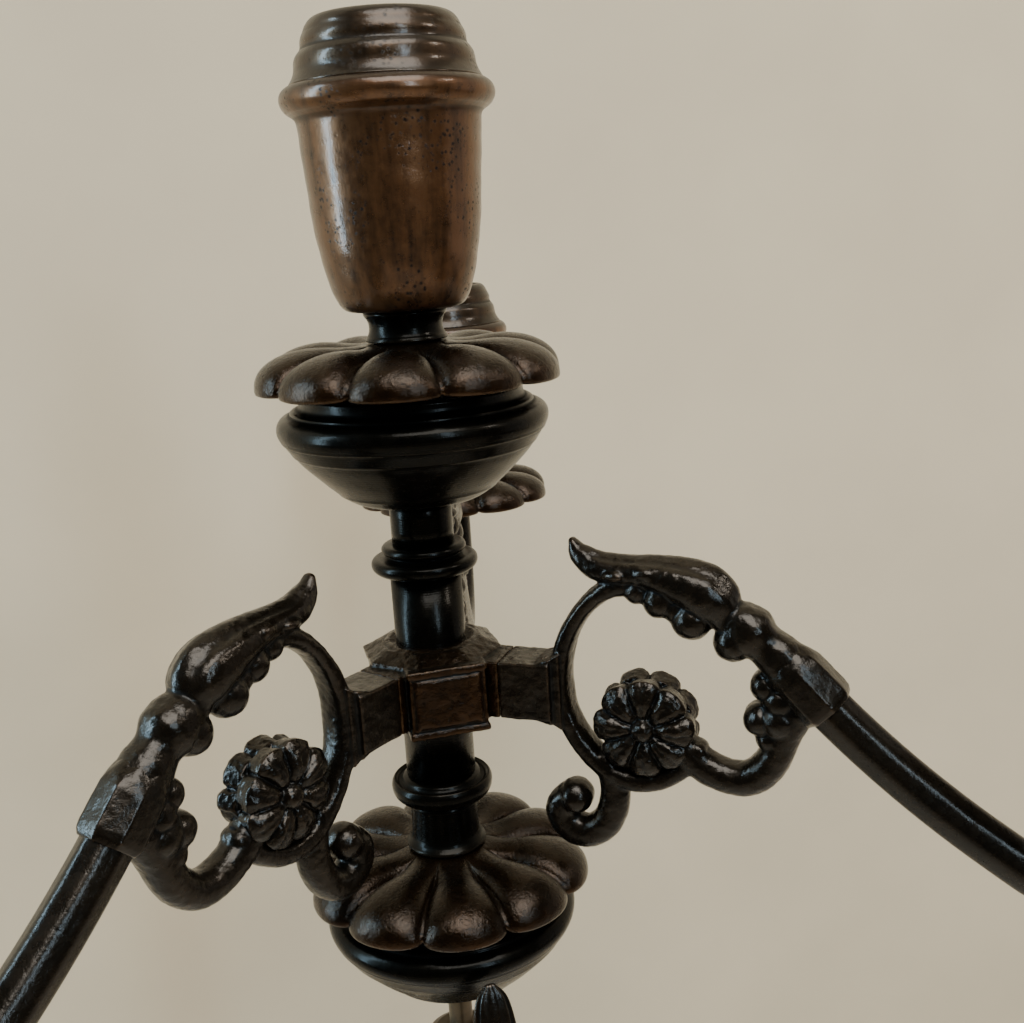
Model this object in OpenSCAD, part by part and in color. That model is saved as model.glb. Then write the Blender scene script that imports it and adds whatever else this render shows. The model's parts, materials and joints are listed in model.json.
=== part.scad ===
// Swing arm wall sconce: a wall knuckle, a swinging bracket that turns up into a
// riser, and a turned column with a top lamp and three cast scroll arms, each with a lamp.
// Origin: centre of the wall plate's back face. The wall is the plane y = 0,
// the sconce stands out along -Y and +Z is up.

/* [Bracket] */
// Distance from the wall to the column's axis
reach = 300; // [290:5:340]
// Distance from the wall to the swing pin's axis
pin_out = 34; // [32:1:36]
// Outer radius of the bracket tube
bracket_r = 6.5; // [6:0.1:7]
// Radius of the wall plate
plate_r = 45; // [43:1:50]
// Radius of the bend from the bracket tube up into the riser
bend_rad = 55; // [45:5:70]

/* [Column] */
// Height of the hub's middle above the bracket tube
hub_z = 395; // [380:5:430]
// Outer radius of the column tube
column_r = 8.9; // [8.6:0.1:9.1]
// Radius of the threaded rod inside the column
rod_r = 5; // [4.8:0.1:5]

/* [Arms] */
// Turn of each arm from straight ahead, right, left and rear
arm_turns = [54, -52, 165];
// Distance from the column to the upright end of an arm
arm_reach = 175; // [172:1:180]
// Outer radius of an arm tube
arm_r = 5.5; // [5.3:0.1:5.8]
// Height of an end pan's lip line above the hub's middle
arm_rise = 7; // [5:0.5:9]

/* [Pans and bowls] */
// Radius of a drip pan at its petal tips
pan_r = 37; // [36:0.5:37.5]
// Height of a drip pan's top above its lip line
pan_h = 9.7; // [9:0.1:10]
// Petals round a drip pan
petals = 10; // [8:1:12]
// Turn of the lower pan's petals round the column
lower_pan_turn = 12; // [0:1:35]
// Turn of the upper pan's petals round the column
upper_pan_turn = 1; // [0:1:35]
// Largest radius of a bowl
bowl_r = 32.7; // [32:0.1:33]

/* [Lamp cups] */
// Largest radius of the ring round a cup
ring_r = 24.5; // [24:0.1:25]
// Radius inside the screw shell
thread_r = 13; // [12.9:0.1:13.2]

/* [Hidden] */
$fn = 96;
bronze = "#3a2a22";
copper = "#5e3a28";
black = "#1d1c1c";
brass = "#b08a4a";
porcelain = "#e6e2d8";

rod_gap = 0.2;                  // round the rod, in every part threaded on it
pin_r = 4;
pivot_r = 6;
run_gap = 0.05;                 // running fits, on the radius
face_gap = 0.4;                 // between faces that turn on each other
wire_r = 3.5;                   // wireway

// Heights up the column
bowl_h = 28.7;                  // bowl's foot to the pan's lip line
bowl_seat = pan_h - 2.9;        // pan's lip line to the seat on the bowl's post
head_z = hub_z - 119;           // middle of the bracket's head
low_rim = hub_z - 55.7;
low_foot = low_rim - bowl_h;
low_top = low_rim + pan_h;
collar_low = low_top + 13;
tube_low = collar_low + 7;
tube_top = hub_z + 28;
collar_top = tube_top + 7.5;
up_rim = hub_z + 75.3;
up_foot = up_rim - bowl_h;
up_top = up_rim + pan_h;
neck_h = 7.2;
ring_up = 47.5;                 // cup's foot to its ring
arm_rim = hub_z + arm_rise;
arm_top = arm_rim + pan_h;

// Wall plate and knuckle
plate_t = 9;
boss_y = 17;                    // front of the plate's boss
screw_z = 32;
lug_t = 5;
eye_h = 18;
lug_r = 10;

// Hub
hub_flat = 15.5;                // hub's faces from its axis
seat_r = 20;                    // where the arm castings butt on
block_w = 13;
block_h = 15;

function mid(v) = v * 0.5;

// Catmull-Rom curve through rows of any length
function cr(a, b, c, d, t) = 0.5 * (2 * b + (c - a) * t
    + (2 * a - 5 * b + 4 * c - d) * t * t + (3 * b - a - 3 * c + d) * t * t * t);
function smooth(p, n) = let (m = len(p) - 1) [for (i = [0 : m - 1], k = [0 : n - 1])
    cr(p[max(i - 1, 0)], p[i], p[i + 1], p[min(i + 2, m)], k / n), p[m]];

// A solid swept along rows of [out, up, half depth in the plane, half width across it]
module sweep(rows, n = 3, sides = 10) {
    q = smooth(rows, n);
    m = len(q) - 1;
    ring = [for (i = [0 : m]) let (
        d = q[min(i + 1, m)] - q[max(i - 1, 0)],
        l = norm([d[0], d[1]]), u = [-d[1], d[0]] / l)
        for (k = [0 : sides - 1]) let (a = 360 * (k + 0.5) / sides)
            [q[i][0] + u[0] * q[i][2] * cos(a), q[i][3] * sin(a),
             q[i][1] + u[1] * q[i][2] * cos(a)]];
    walls = [for (i = [0 : m - 1], k = [0 : sides - 1]) let (j = (k + 1) % sides)
        each [[i * sides + k, i * sides + j, (i + 1) * sides + j],
              [i * sides + k, (i + 1) * sides + j, (i + 1) * sides + k]]];
    polyhedron(ring, concat(walls, [[for (k = [sides - 1 : -1 : 0]) k],
        [for (k = [0 : sides - 1]) m * sides + k]]), convexity = 8);
}

module at_column() { translate([0, -reach, 0]) children(); }

// Turns an arm's own plane, drawn out along +X, to its place round the column
module on_arm(i) {
    translate([0, -reach, hub_z]) rotate([0, 0, arm_turns[i] - 90]) children();
}

// The foot of a lamp cup: 0 is the column's top, 1 to 3 are the arms
module at_cup(i) {
    if (i == 0) translate([0, -reach, up_top + neck_h]) children();
    else on_arm(i - 1) translate([arm_reach, 0, arm_top + neck_h - hub_z]) children();
}

module at_pan(i) {
    if (i == 0) translate([0, -reach, up_rim]) children();
    else on_arm(i - 1) translate([arm_reach, 0, arm_rise]) children();
}

// ---- wall ----

module wall_plate() {
    color(bronze) difference() {
        rotate([90, 0, 0]) rotate_extrude() polygon([[0, 0], [plate_r, 0],
            [plate_r, 2], [plate_r - 1.5, 3.5], [plate_r - 5, 4], [plate_r - 6.5, 5.2],
            [plate_r - 13, 7.6], [24, plate_t], [0, plate_t]]);
        for (s = [-1, 1]) translate([0, 1, s * screw_z]) rotate([90, 0, 0])
            cylinder(r = 2.6, h = plate_t + 2);
        wireway();
    }
}

// Hole for the wires, above the plate's middle
module wireway() {
    translate([0, 1, 5.5]) rotate([90, 0, 0]) cylinder(r = 2.4, h = 30);
}

module wall_knuckle() {
    color(bronze) difference() {
        union() {
            rotate([90, 0, 0]) rotate_extrude() polygon([[0, plate_t], [22, plate_t],
                [22.5, 11], [21, 13], [17.5, 14], [16, boss_y], [0, boss_y]]);
            translate([-9, -24, -mid(eye_h) - lug_t]) cube([18, 8, eye_h + 2 * lug_t]);
            for (s = [0, 1]) mirror([0, 0, s]) translate([0, 0, mid(eye_h)]) {
                translate([0, -pin_out, 0]) cylinder(r = lug_r, h = lug_t);
                translate([-lug_r, -pin_out, 0]) cube([2 * lug_r, pin_out - 16, lug_t]);
            }
        }
        translate([0, -pin_out, -mid(eye_h) - lug_t - 1])
            cylinder(r = pin_r, h = eye_h + 2 * lug_t + 2);
        translate([0, -pin_out, -mid(eye_h)]) cylinder(r = lug_r + 1.2, h = eye_h);
        wireway();
    }
}

module knuckle_pin() {
    reach_z = mid(eye_h) + lug_t;
    color(brass) translate([0, -pin_out, -reach_z - 4]) cylinder(r = pin_r, h = 2 * reach_z + 8);
}

// Turned knobs on both ends of the pin
module pin_finial() {
    color(bronze) translate([0, -pin_out, mid(eye_h) + lug_t]) difference() {
        rotate_extrude() polygon([[0, 0], [7, 0], [7.4, 1.4], [6.4, 2.6], [4.6, 3.4],
            [4.4, 4.6], [6, 6], [6.6, 8], [6, 10.2], [4, 11.8], [2, 12.8], [1.2, 15], [0, 15.6]]);
        translate([0, 0, -1]) cylinder(r = pin_r, h = 5);
    }
}

module pin_nut() {
    color(bronze) translate([0, -pin_out, -mid(eye_h) - lug_t]) mirror([0, 0, 1]) difference() {
        rotate_extrude() polygon([[0, 0], [7, 0], [7.4, 1.4], [6.2, 3], [6, 5], [4, 7], [0, 8]]);
        translate([0, 0, -1]) cylinder(r = pin_r, h = 5);
    }
}

// ---- swinging bracket ----

eye_front = pin_out + 22;       // front face of the eye's ferrule
bend_back = reach - bend_rad;   // where the bend begins

module bracket_eye() {
    color(bronze) difference() {
        union() {
            translate([0, -pin_out, -mid(eye_h) + face_gap])
                cylinder(r = lug_r, h = eye_h - 2 * face_gap);
            translate([0, -pin_out - 5, 0]) rotate([90, 0, 0]) rotate_extrude()
                polygon([[0, 0], [7, 0], [7, 8], [8.6, 9], [9, 10.5], [8.6, 12],
                    [8, 12.5], [8, 16], [8.4, 17], [0, 17]]);
        }
        translate([0, -pin_out, -eye_h]) cylinder(r = pin_r + run_gap, h = 2 * eye_h);
        translate([0, -eye_front + 5, 0]) rotate([90, 0, 0]) cylinder(r = bracket_r, h = 8);
    }
}

module bracket_pipe(h) {
    difference() {
        cylinder(r = bracket_r, h = h);
        translate([0, 0, -1]) cylinder(r = bracket_r - 1.5, h = h + 2);
    }
}

module bracket_tube() {
    color(bronze) translate([0, -eye_front + 5, 0]) rotate([90, 0, 0])
        bracket_pipe(bend_back - eye_front + 5);
}

module bracket_bend() {
    color(bronze) translate([0, -bend_back, bend_rad]) rotate([0, 90, 0]) rotate([0, 0, -90])
        rotate_extrude(angle = 90) translate([bend_rad, 0]) difference() {
            circle(r = bracket_r);
            circle(r = bracket_r - 1.5);
        }
}

module bracket_riser() {
    color(bronze) at_column() translate([0, 0, bend_rad]) bracket_pipe(head_z - 20.5 - bend_rad);
}

// Turned ornament at the end of the straight tube
module bracket_knop() {
    color(copper) translate([0, -bend_back + 34, 0]) rotate([90, 0, 0]) difference() {
        rotate_extrude() polygon([[0, 0], [8, 0], [8.6, 1.5], [8, 3], [8.2, 5], [11, 7],
            [11.6, 8.5], [11, 10], [9.4, 11], [12, 13.5], [13, 17], [12, 20.5], [9.4, 23],
            [11, 24], [11.6, 25.5], [11, 27], [8.2, 29], [8, 31], [8.6, 32.5], [8, 34], [0, 34]]);
        translate([0, 0, -1]) cylinder(r = bracket_r, h = 36);
    }
}

// Turned collar at the foot of the riser
module bracket_collar() {
    color(copper) at_column() translate([0, 0, bend_rad]) difference() {
        rotate_extrude() polygon([[0, 0], [8, 0], [9, 1.2], [8.2, 2.6], [10.4, 4.4], [11, 6.5],
            [10.4, 8.6], [8.2, 10.4], [9, 11.8], [8, 13], [0, 13]]);
        translate([0, 0, -1]) cylinder(r = bracket_r, h = 15);
    }
}

module at_head() { translate([0, -reach, head_z]) children(); }

module bracket_head() {
    color(bronze) at_head() difference() {
        union() {
            rotate_extrude() polygon([[0, -26], [8.4, -26], [9, -24.5], [8.6, -22.5],
                [8.2, -17], [9.6, -14], [10.6, -12], [11, -9], [12, -7], [12, 7], [11, 9],
                [10.5, 11.5], [9.5, 13], [0, 13]]);
            rotate([90, 0, 0]) cylinder(r = 6.5, h = 15);
        }
        translate([0, 0, -21]) cylinder(r = pivot_r + run_gap, h = 36);
        translate([0, 0, -27]) cylinder(r = bracket_r, h = 6.5);
    }
}

// Leaf that curls up from the head, in front of the lower bowl
leaf_rows = [[15, 0, 5, 5], [21, -3.5, 4.6, 5.6], [29, -5.5, 4.2, 6.6], [37, -2, 3.9, 7],
    [42.5, 8, 3.3, 7], [44.5, 22, 2.9, 6.8], [44, 36, 2.5, 6.4], [42.2, 46.5, 2.1, 5.4],
    [40.8, 52.5, 1.6, 4.2], [40, 55.5, 0.9, 2]];
module bracket_leaf() {
    color(bronze) at_head() rotate([0, 0, -90]) sweep(leaf_rows, 3, 14);
}

// ---- column ----

// Spigot that turns in the head, with a slim neck screwed into the column's rod
neck_r = 3.2;
module pivot_spigot() {
    flange = 13 + face_gap;
    foot = low_foot - head_z;
    color(brass) at_head() rotate_extrude() polygon([[1.6, -19], [pivot_r, -19],
        [pivot_r, flange], [9.2, flange], [9.2, flange + 1.6], [7.4, flange + 2.6],
        [neck_r, flange + 2.8], [neck_r, foot - 2.4], [5, foot - 2], [5.4, foot - 1],
        [5, foot], [wire_r, foot], [wire_r, foot + 9], [1.6, foot + 9]]);
}

module centre_rod() {
    color(brass) at_column() translate([0, 0, low_foot]) difference() {
        cylinder(r = rod_r, h = up_top + neck_h + 5.5 - low_foot);
        translate([0, 0, -1]) cylinder(r = wire_r, h = 400);
    }
}

// Turned bowl, hollow round a post that the pan above it sits on
module bowl(foot) {
    inner = rod_r + rod_gap;
    color(black) at_column() translate([0, 0, foot]) rotate_extrude() polygon([
        [inner, 0], [15, 0], [17.2, 1.6], [20.5, 3.8], [23.2, 6], [27.4, 10],
        [30.6, 14], [bowl_r - 0.4, 17.2], [bowl_r, 19.6], [bowl_r - 0.9, 21.4],
        [29.8, 22.8], [28.4, 23.4], [27.2, 24.2], [27, 27.2], [24.8, 27.2],
        [24.5, 22.6], [26.6, 21], [29, 19], [27.4, 15.4], [23, 10], [17, 4.6], [14, 3.2],
        [9.5, 2.8], [8, 4.8], [8, bowl_h + bowl_seat], [inner, bowl_h + bowl_seat]]);
}

// Gadrooned drip pan: petals that droop and bulge between sharp creases
pan_rings = [0, 0.36, 0.62, 0.8, 0.92, 1];
petal_cuts = 6;
pan_in = rod_r + 0.35;
function bulge(a) = sqrt(abs(cos(petals * a / 2)));
function pan_out(a) = pan_r * (0.93 + 0.07 * bulge(a));
pan_fall = 7;                   // top to lip, on the upper face
crease = 2.6;                   // depth between the petals
function pan_up(s, a) = pan_h - pan_fall * pow(s, 5.5) - crease * min(1, 1.4 * s) * (1 - bulge(a));
function pan_pt(s, a, t) = let (r = pan_in + (pan_out(a) - pan_in) * s - t * 0.5 * s)
    [r * cos(a), r * sin(a), pan_up(s, a) - t];
module pan(t = 2.4) {
    n = petals * petal_cuts;
    m = len(pan_rings);
    pts = [for (side = [0, 1], j = [0 : m - 1], k = [0 : n - 1])
        pan_pt(pan_rings[j], 360 * k / n, side * t * (1 - 0.35 * pan_rings[j]))];
    function id(side, j, k) = (side * m + j) * n + k % n;
    top = [for (j = [0 : m - 2], k = [0 : n - 1]) each [
        [id(0, j, k), id(0, j, k + 1), id(0, j + 1, k + 1)],
        [id(0, j, k), id(0, j + 1, k + 1), id(0, j + 1, k)]]];
    under = [for (j = [0 : m - 2], k = [0 : n - 1]) each [
        [id(1, j, k), id(1, j + 1, k + 1), id(1, j, k + 1)],
        [id(1, j, k), id(1, j + 1, k), id(1, j + 1, k + 1)]]];
    edges = [for (j = [0, m - 1], k = [0 : n - 1]) let (f = j == 0 ? 0 : 1) each [
        [id(f, j, k), id(1 - f, j, k + 1), id(f, j, k + 1)],
        [id(f, j, k), id(1 - f, j, k), id(1 - f, j, k + 1)]]];
    polyhedron(pts, concat(top, under, edges), convexity = 6);
}

module column_pan(rim, turn) {
    color(copper) at_column() translate([0, 0, rim]) rotate([0, 0, turn]) pan();
}

module ferrule() {
    color(black) at_column() translate([0, 0, low_top]) rotate_extrude() polygon([
        [rod_r + rod_gap, 0], [10.4, 0], [10.4, 1], [9.2, 2.2], [8.8, 4], [8.7, 10],
        [9, 13], [rod_r + rod_gap, 13]]);
}

module lower_collar() {
    color(black) at_column() translate([0, 0, collar_low]) rotate_extrude() polygon([
        [rod_r + rod_gap, 0], [9.6, 0], [11.6, 0.9], [12.8, 2.4], [13.1, 4], [12.7, 5.4],
        [12.2, 5.9], [11.2, 6], [10.8, 7], [rod_r + rod_gap, 7]]);
}

module column_tube() {
    color(bronze) at_column() translate([0, 0, tube_low]) difference() {
        cylinder(r = column_r, h = tube_top - tube_low);
        translate([0, 0, -1]) cylinder(r = rod_r + rod_gap, h = 80);
    }
}

// Cast hub: eight faces, a raised panel in front, flanges and a seat for each arm
module hub() {
    corner = hub_flat / cos(22.5);
    color(copper) at_column() translate([0, 0, hub_z]) difference() {
        union() {
            translate([0, 0, -8.5]) rotate([0, 0, 22.5]) cylinder(r = corner, h = 16.5, $fn = 8);
            translate([-9.2, -hub_flat - 3, -8.2]) cube([18.4, 6, 15.8]);
            rotate([0, 0, 22.5]) translate([0, 0, 6.2])
                cylinder(r = corner + 1, h = 2, $fn = 8);
            rotate([0, 0, 22.5]) translate([0, 0, 8.2])
                cylinder(r1 = corner + 1, r2 = corner - 3.6, h = 2.2, $fn = 8);
            translate([0, 0, -8.5]) mirror([0, 0, 1]) rotate_extrude() polygon([[0, 0],
                [14.6, 0], [14.8, 1.2], [13.2, 2.6], [11, 3], [0, 3]]);
            for (a = arm_turns) rotate([0, 0, a - 90])
                translate([8, -mid(block_w), -mid(block_h)]) cube([seat_r - 8, block_w, block_h]);
        }
        translate([0, 0, -20]) cylinder(r = column_r, h = 40);
    }
}

module upper_collar() {
    color(black) at_column() translate([0, 0, tube_top]) rotate_extrude() polygon([
        [rod_r + rod_gap, 0], [10.6, 0], [12.4, 0.8], [13.2, 2], [13.2, 3.2], [12.4, 3.9],
        [10, 4.2], [9.2, 4.8], [10.2, 5.2], [10.6, 6], [10.2, 6.9], [9.2, 7.5],
        [rod_r + rod_gap, 7.5]]);
}

module upper_tube() {
    color(bronze) at_column() translate([0, 0, collar_top]) difference() {
        cylinder(r = 7.7, h = up_foot - collar_top);
        translate([0, 0, -1]) cylinder(r = rod_r + rod_gap, h = 20);
    }
}

// ---- lamp cups ----

module neck(i) {
    color(black) at_cup(i) translate([0, 0, -neck_h]) rotate_extrude() polygon([
        [rod_r + rod_gap, 0], [9.9, 0], [9.6, 1.1], [9, 2], [8.8, 3.8], [9.2, 5.6],
        [10, 6.4], [10, neck_h], [rod_r + rod_gap, neck_h]]);
}

// Bell-shaped cup with a fat ring at its mouth
module cup(i) {
    bead = 3.1;
    color(copper) at_cup(i) rotate_extrude() difference() {
        union() {
            polygon([[rod_r + rod_gap, 0], [12.6, 0], [14.4, 0.9], [15.4, 2.2], [16.6, 5],
                [17.7, 9], [18.6, 13.8], [19.3, 19], [19.9, 25], [20.5, 34], [21.1, ring_up - 4.6],
                [21.4, ring_up - 2], [21.4, ring_up + bead], [18.2, ring_up + bead],
                [18.2, 34], [17.2, 20], [15, 8], [13, 3], [rod_r + rod_gap, 3]]);
            translate([ring_r - bead, ring_up]) circle(r = bead, $fn = 48);
        }
        translate([0, 34]) square([18.2, 30]);
    }
}

// Stepped cap that closes the cup round the lampholder
module cap(i) {
    color(copper) at_cup(i) translate([0, 0, ring_up + 3.1]) rotate_extrude() polygon([
        [15.8, 0], [22.4, 0], [21.2, 2.2], [20.5, 3.6], [20.3, 5.6], [19.4, 7.3], [18.8, 8.2],
        [18.6, 10.2], [17.4, 12.8], [15.6, 14.6], [14.2, 14.4], [14.2, 6.4], [15.8, 6]]);
}

holder_foot = 3;                // top of the cup's floor
holder_top = ring_up + 8.6;
module lampholder(i) {
    color(porcelain) at_cup(i) rotate_extrude() polygon([[7, holder_foot],
        [11, holder_foot], [11.2, 17], [15.2, 20], [15.4, holder_top], [thread_r + 0.7, holder_top],
        [thread_r + 0.7, 27], [3, 27], [3, 22], [7, 19]]);
}

module shell(i) {
    color(brass) at_cup(i) rotate_extrude() polygon([[4.4, 27], [thread_r + 0.7, 27],
        [thread_r + 0.7, holder_top + 0.4], [thread_r, holder_top + 0.4], [thread_r, 27.7],
        [4.4, 27.7]]);
}

// ---- scroll arms, drawn in their own plane: [out, up, half depth, half width] ----

// Ring strap from the rosette round past the block and over the top into the leaf
ring_rows = [[68, -12.8, 2.2, 3.4], [64, -18, 2.5, 3.8], [58, -21.6, 2.7, 4],
    [51.4, -22.4, 2.7, 4], [45.2, -20, 2.7, 4.2], [39.4, -14.2, 2.7, 4.2], [35.4, -6.5, 2.7, 4.2],
    [34.4, 2, 2.6, 4.2], [35.4, 9.6, 2.5, 4], [38.2, 16.4, 2.4, 3.8], [42.4, 22, 2.4, 3.8],
    [48, 26.4, 2.7, 4.2], [55, 28.6, 3.4, 4.8]];
// Acanthus leaf, bulb, neck and bead, down to the sleeve
leaf_top_rows = [[38.9, 36.8, 0.7, 1.8], [40.4, 34.2, 1.8, 3], [43.8, 31.5, 2.8, 4.2],
    [50.4, 30.4, 3.2, 5], [57.5, 30, 3.9, 5.8], [63.6, 28.6, 5, 6.6], [69, 26.4, 6.2, 7],
    [72.6, 23.6, 6, 6.6], [75.2, 20.6, 4.7, 5.2], [77.8, 18.8, 5.6, 6], [80.6, 16.6, 6, 6.3],
    [83.4, 14.4, 4.8, 5.4], [86.4, 11.6, 5.4, 5.8], [88.6, 9.5, 5.6, 6]];
// S-curve rod from the rosette up to the sleeve
rod_rows = [[58, -7, 4, 4], [62.4, -11.4, 4.3, 4.2], [67.2, -16, 4.1, 4.3], [73, -19, 4, 4.4],
    [79.4, -19.4, 4.1, 4.5], [84.6, -15, 4.1, 4.5], [87.6, -8, 4, 4.6], [90.4, -1, 4.6, 4.8]];
// Curl below the ring strap, ending in a ball
curl_rows = [[44.6, -17.8, 3.2, 4], [46.7, -24, 3.6, 4], [46.3, -30.2, 3.8, 4.1],
    [43.8, -35.4, 4, 4.1], [39.3, -38.2, 4.1, 4.1], [34.8, -36.8, 4.3, 4.1], [33, -32.6, 4.4, 4.1],
    [35.2, -29.4, 4.2, 4.2]];
// Rounded lobes under the leaf and inside the sleeve: [out, up, radius, lean]
lobes = [[54.4, 26.5, 3.2, 1.8], [59.5, 24.8, 4.1, 2], [67.4, 20.5, 4.5, 1.9], [76.2, 14.8, 4.3, 1.2],
    [85.2, 4.6, 3.6, 0.8], [82.8, -2.8, 3.8, 0.8], [86.6, -2.4, 4.2, 0.8], [36.6, -28.8, 4.3, 0.4]];

module scroll(i) {
    color(bronze) on_arm(i) {
        hull() {
            translate([seat_r, -mid(block_w), -mid(block_h)]) cube([6, block_w, block_h]);
            translate([31, 1 - mid(block_w), 1 - mid(block_h)]) cube([3, block_w - 2, block_h - 2]);
        }
        sweep(ring_rows, 2);
        sweep(leaf_top_rows, 2);
        sweep(rod_rows, 2);
        sweep(curl_rows, 2);
        for (p = lobes) hull() for (s = [-1, 1])
            translate([p[0], s * p[3], p[1]]) sphere(r = p[2], $fn = 14);
    }
}

// Ten-petalled rosette on both faces of the scroll
rosette_at = [55.5, -7.5];
module rosette(i) {
    color(copper) on_arm(i) translate([rosette_at[0], 0, rosette_at[1]]) rotate([90, 0, 0]) {
        translate([0, 0, -4.6]) cylinder(r = 9.8, h = 9.2);
        for (s = [0, 1], k = [0 : petals - 1]) mirror([0, 0, s]) rotate([0, 0, 360 * k / petals])
            translate([9.3, 0, 3.2]) sphere(r = 3.3, $fn = 24);
        for (s = [-1, 1]) translate([0, 0, s * 4.8]) sphere(r = 3.2, $fn = 24);
    }
}

// Eight-sided sleeve round the root of the arm's tube
sleeve_slope = -47;
sleeve_at = [87.8, 10.3];
sleeve_l = 15;
sleeve_r = 7.5;                 // over the corners
sleeve_grip = 8;                // length of tube inside the sleeve
module sleeve(i) {
    color(bronze) on_arm(i) translate([sleeve_at[0], 0, sleeve_at[1]])
        rotate([0, 90 - sleeve_slope, 0]) difference() {
            rotate([0, 0, 22.5]) cylinder(r = sleeve_r, h = sleeve_l, $fn = 8);
            translate([0, 0, sleeve_l - sleeve_grip]) cylinder(r = arm_r, h = sleeve_grip + 1);
        }
}

// Arm tube: a long shallow arc, a straight, a tight bend and an upright end
arc_a = 240;                    // radius of the shallow arc
drop = -34;                     // slope of the straight
tube_from = sleeve_at
    + (sleeve_l - sleeve_grip) * [cos(sleeve_slope), sin(sleeve_slope)];
arc_end = [tube_from[0] + arc_a * (sin(drop) - sin(sleeve_slope)),
    tube_from[1] - arc_a * (cos(drop) - cos(sleeve_slope))];
straight = 7;
bend_from = arc_end + straight * [cos(drop), sin(drop)];
bend_r = (arm_reach - bend_from[0]) / (1 - sin(drop));
pan_seat = arm_rise + bowl_seat;

// Points along a bend of radius r that starts at p and turns from one slope to another
function bend(p, r, from, to, n) = [for (k = [0 : n]) let (a = from + (to - from) * k / n)
    [p[0] + r * (sin(a) - sin(from)), p[1] - r * (cos(a) - cos(from))]];
tube_line = concat(bend(tube_from, arc_a, sleeve_slope, drop, 4),
    bend(bend_from, bend_r, drop, 90, 10), [[arm_reach, pan_seat - 1], [arm_reach, pan_seat]]);

module arm_tube(i) {
    top = arm_top + neck_h + 5.5 - hub_z;
    bore_line = concat([tube_line[0] - 2 * [cos(sleeve_slope), sin(sleeve_slope)]],
        tube_line, [[arm_reach, top + 1]]);
    color(bronze) on_arm(i) difference() {
        union() {
            sweep([for (p = tube_line) [p[0], p[1], arm_r, arm_r]], 1, 16);
            translate([arm_reach, 0, pan_seat - 3]) cylinder(r = rod_r, h = top - pan_seat + 3);
        }
        sweep([for (p = bore_line) [p[0], p[1], wire_r, wire_r]], 1, 10);
    }
}

module arm_pan(i) {
    color(copper) at_pan(i) pan();
}

wall_plate();
wall_knuckle();
knuckle_pin();
pin_finial();
pin_nut();
bracket_eye();
bracket_tube();
bracket_knop();
bracket_bend();
bracket_collar();
bracket_riser();
bracket_head();
bracket_leaf();
pivot_spigot();
centre_rod();
bowl(low_foot);  // lower_bowl
column_pan(low_rim, lower_pan_turn);  // lower_pan
ferrule();
lower_collar();
column_tube();
hub();
upper_collar();
upper_tube();
bowl(up_foot);  // upper_bowl
column_pan(up_rim, upper_pan_turn);  // upper_pan
neck(0);  // top_neck
cup(0);  // top_cup
cap(0);  // top_cap
lampholder(0);  // top_lampholder
shell(0);  // top_shell
for (i = [1 : 3]) {
    side = ["", "right", "left", "rear"][i];
    scroll(i - 1);
    rosette(i - 1);
    sleeve(i - 1);
    arm_tube(i - 1);
    arm_pan(i);
    neck(i);
    cup(i);
    cap(i);
    lampholder(i);
    shell(i);
}
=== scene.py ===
import json
import math

import bmesh
import bpy
import numpy as np
from mathutils import Matrix, Vector, noise


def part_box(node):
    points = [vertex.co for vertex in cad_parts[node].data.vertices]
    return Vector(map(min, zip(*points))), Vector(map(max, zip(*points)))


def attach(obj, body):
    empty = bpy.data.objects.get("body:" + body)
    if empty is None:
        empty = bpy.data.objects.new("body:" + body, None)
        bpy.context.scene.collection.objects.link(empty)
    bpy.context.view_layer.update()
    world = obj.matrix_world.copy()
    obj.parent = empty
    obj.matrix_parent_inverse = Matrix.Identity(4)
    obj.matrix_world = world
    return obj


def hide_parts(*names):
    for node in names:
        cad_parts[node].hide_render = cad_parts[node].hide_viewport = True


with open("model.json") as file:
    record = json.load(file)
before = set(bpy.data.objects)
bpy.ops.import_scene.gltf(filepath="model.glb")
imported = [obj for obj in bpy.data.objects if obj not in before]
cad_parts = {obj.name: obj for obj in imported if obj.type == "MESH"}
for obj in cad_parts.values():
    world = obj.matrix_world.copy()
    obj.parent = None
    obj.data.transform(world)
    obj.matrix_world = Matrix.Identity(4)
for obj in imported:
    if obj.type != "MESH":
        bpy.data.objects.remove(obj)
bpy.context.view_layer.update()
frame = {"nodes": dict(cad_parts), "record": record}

# ---------------------------------------------------------------- driving sizes, mm
MM = 0.001
REACH = 300.0
PIN_OUT = 34.0
ARM_TURNS = {"right": 54.0, "left": -52.0, "rear": 165.0}
ARM_REACH = 175.0
ARM_RISE = 7.0
ROD_R = 5.2
PAN_R = 37.0
PAN_H = 9.7
PETALS = 10
LOWER_PAN_TURN, UPPER_PAN_TURN = 12, 1
BOWL_R = 32.7
NECK_H = 7.2
RING_UP = 47.5
RING_R = 24.5


def low(node):
    """A node's lowest point, in millimetres."""
    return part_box(node)[0][2] / MM


def high(node):
    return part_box(node)[1][2] / MM


def height(node):
    lo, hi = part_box(node)
    return (hi[2] - lo[2]) / MM


HUB_Z = low("hub") + 11.5      # the hub's middle
HEAD_Z = HUB_Z - 119.0         # the bracket head's middle


def shift(x, y, z):
    """A shift in millimetres."""
    return Matrix.Translation((x * MM, y * MM, z * MM))


def spun(degrees, axis):
    return Matrix.Rotation(math.radians(degrees), 4, axis)


def column(z=0.0):
    """The column's axis at the height z."""
    return shift(0, -REACH, z)


def arm(side):
    """An arm's frame: X runs out along it from the hub's middle."""
    return column(HUB_Z) @ spun(ARM_TURNS[side] - 90, "Z")


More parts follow.
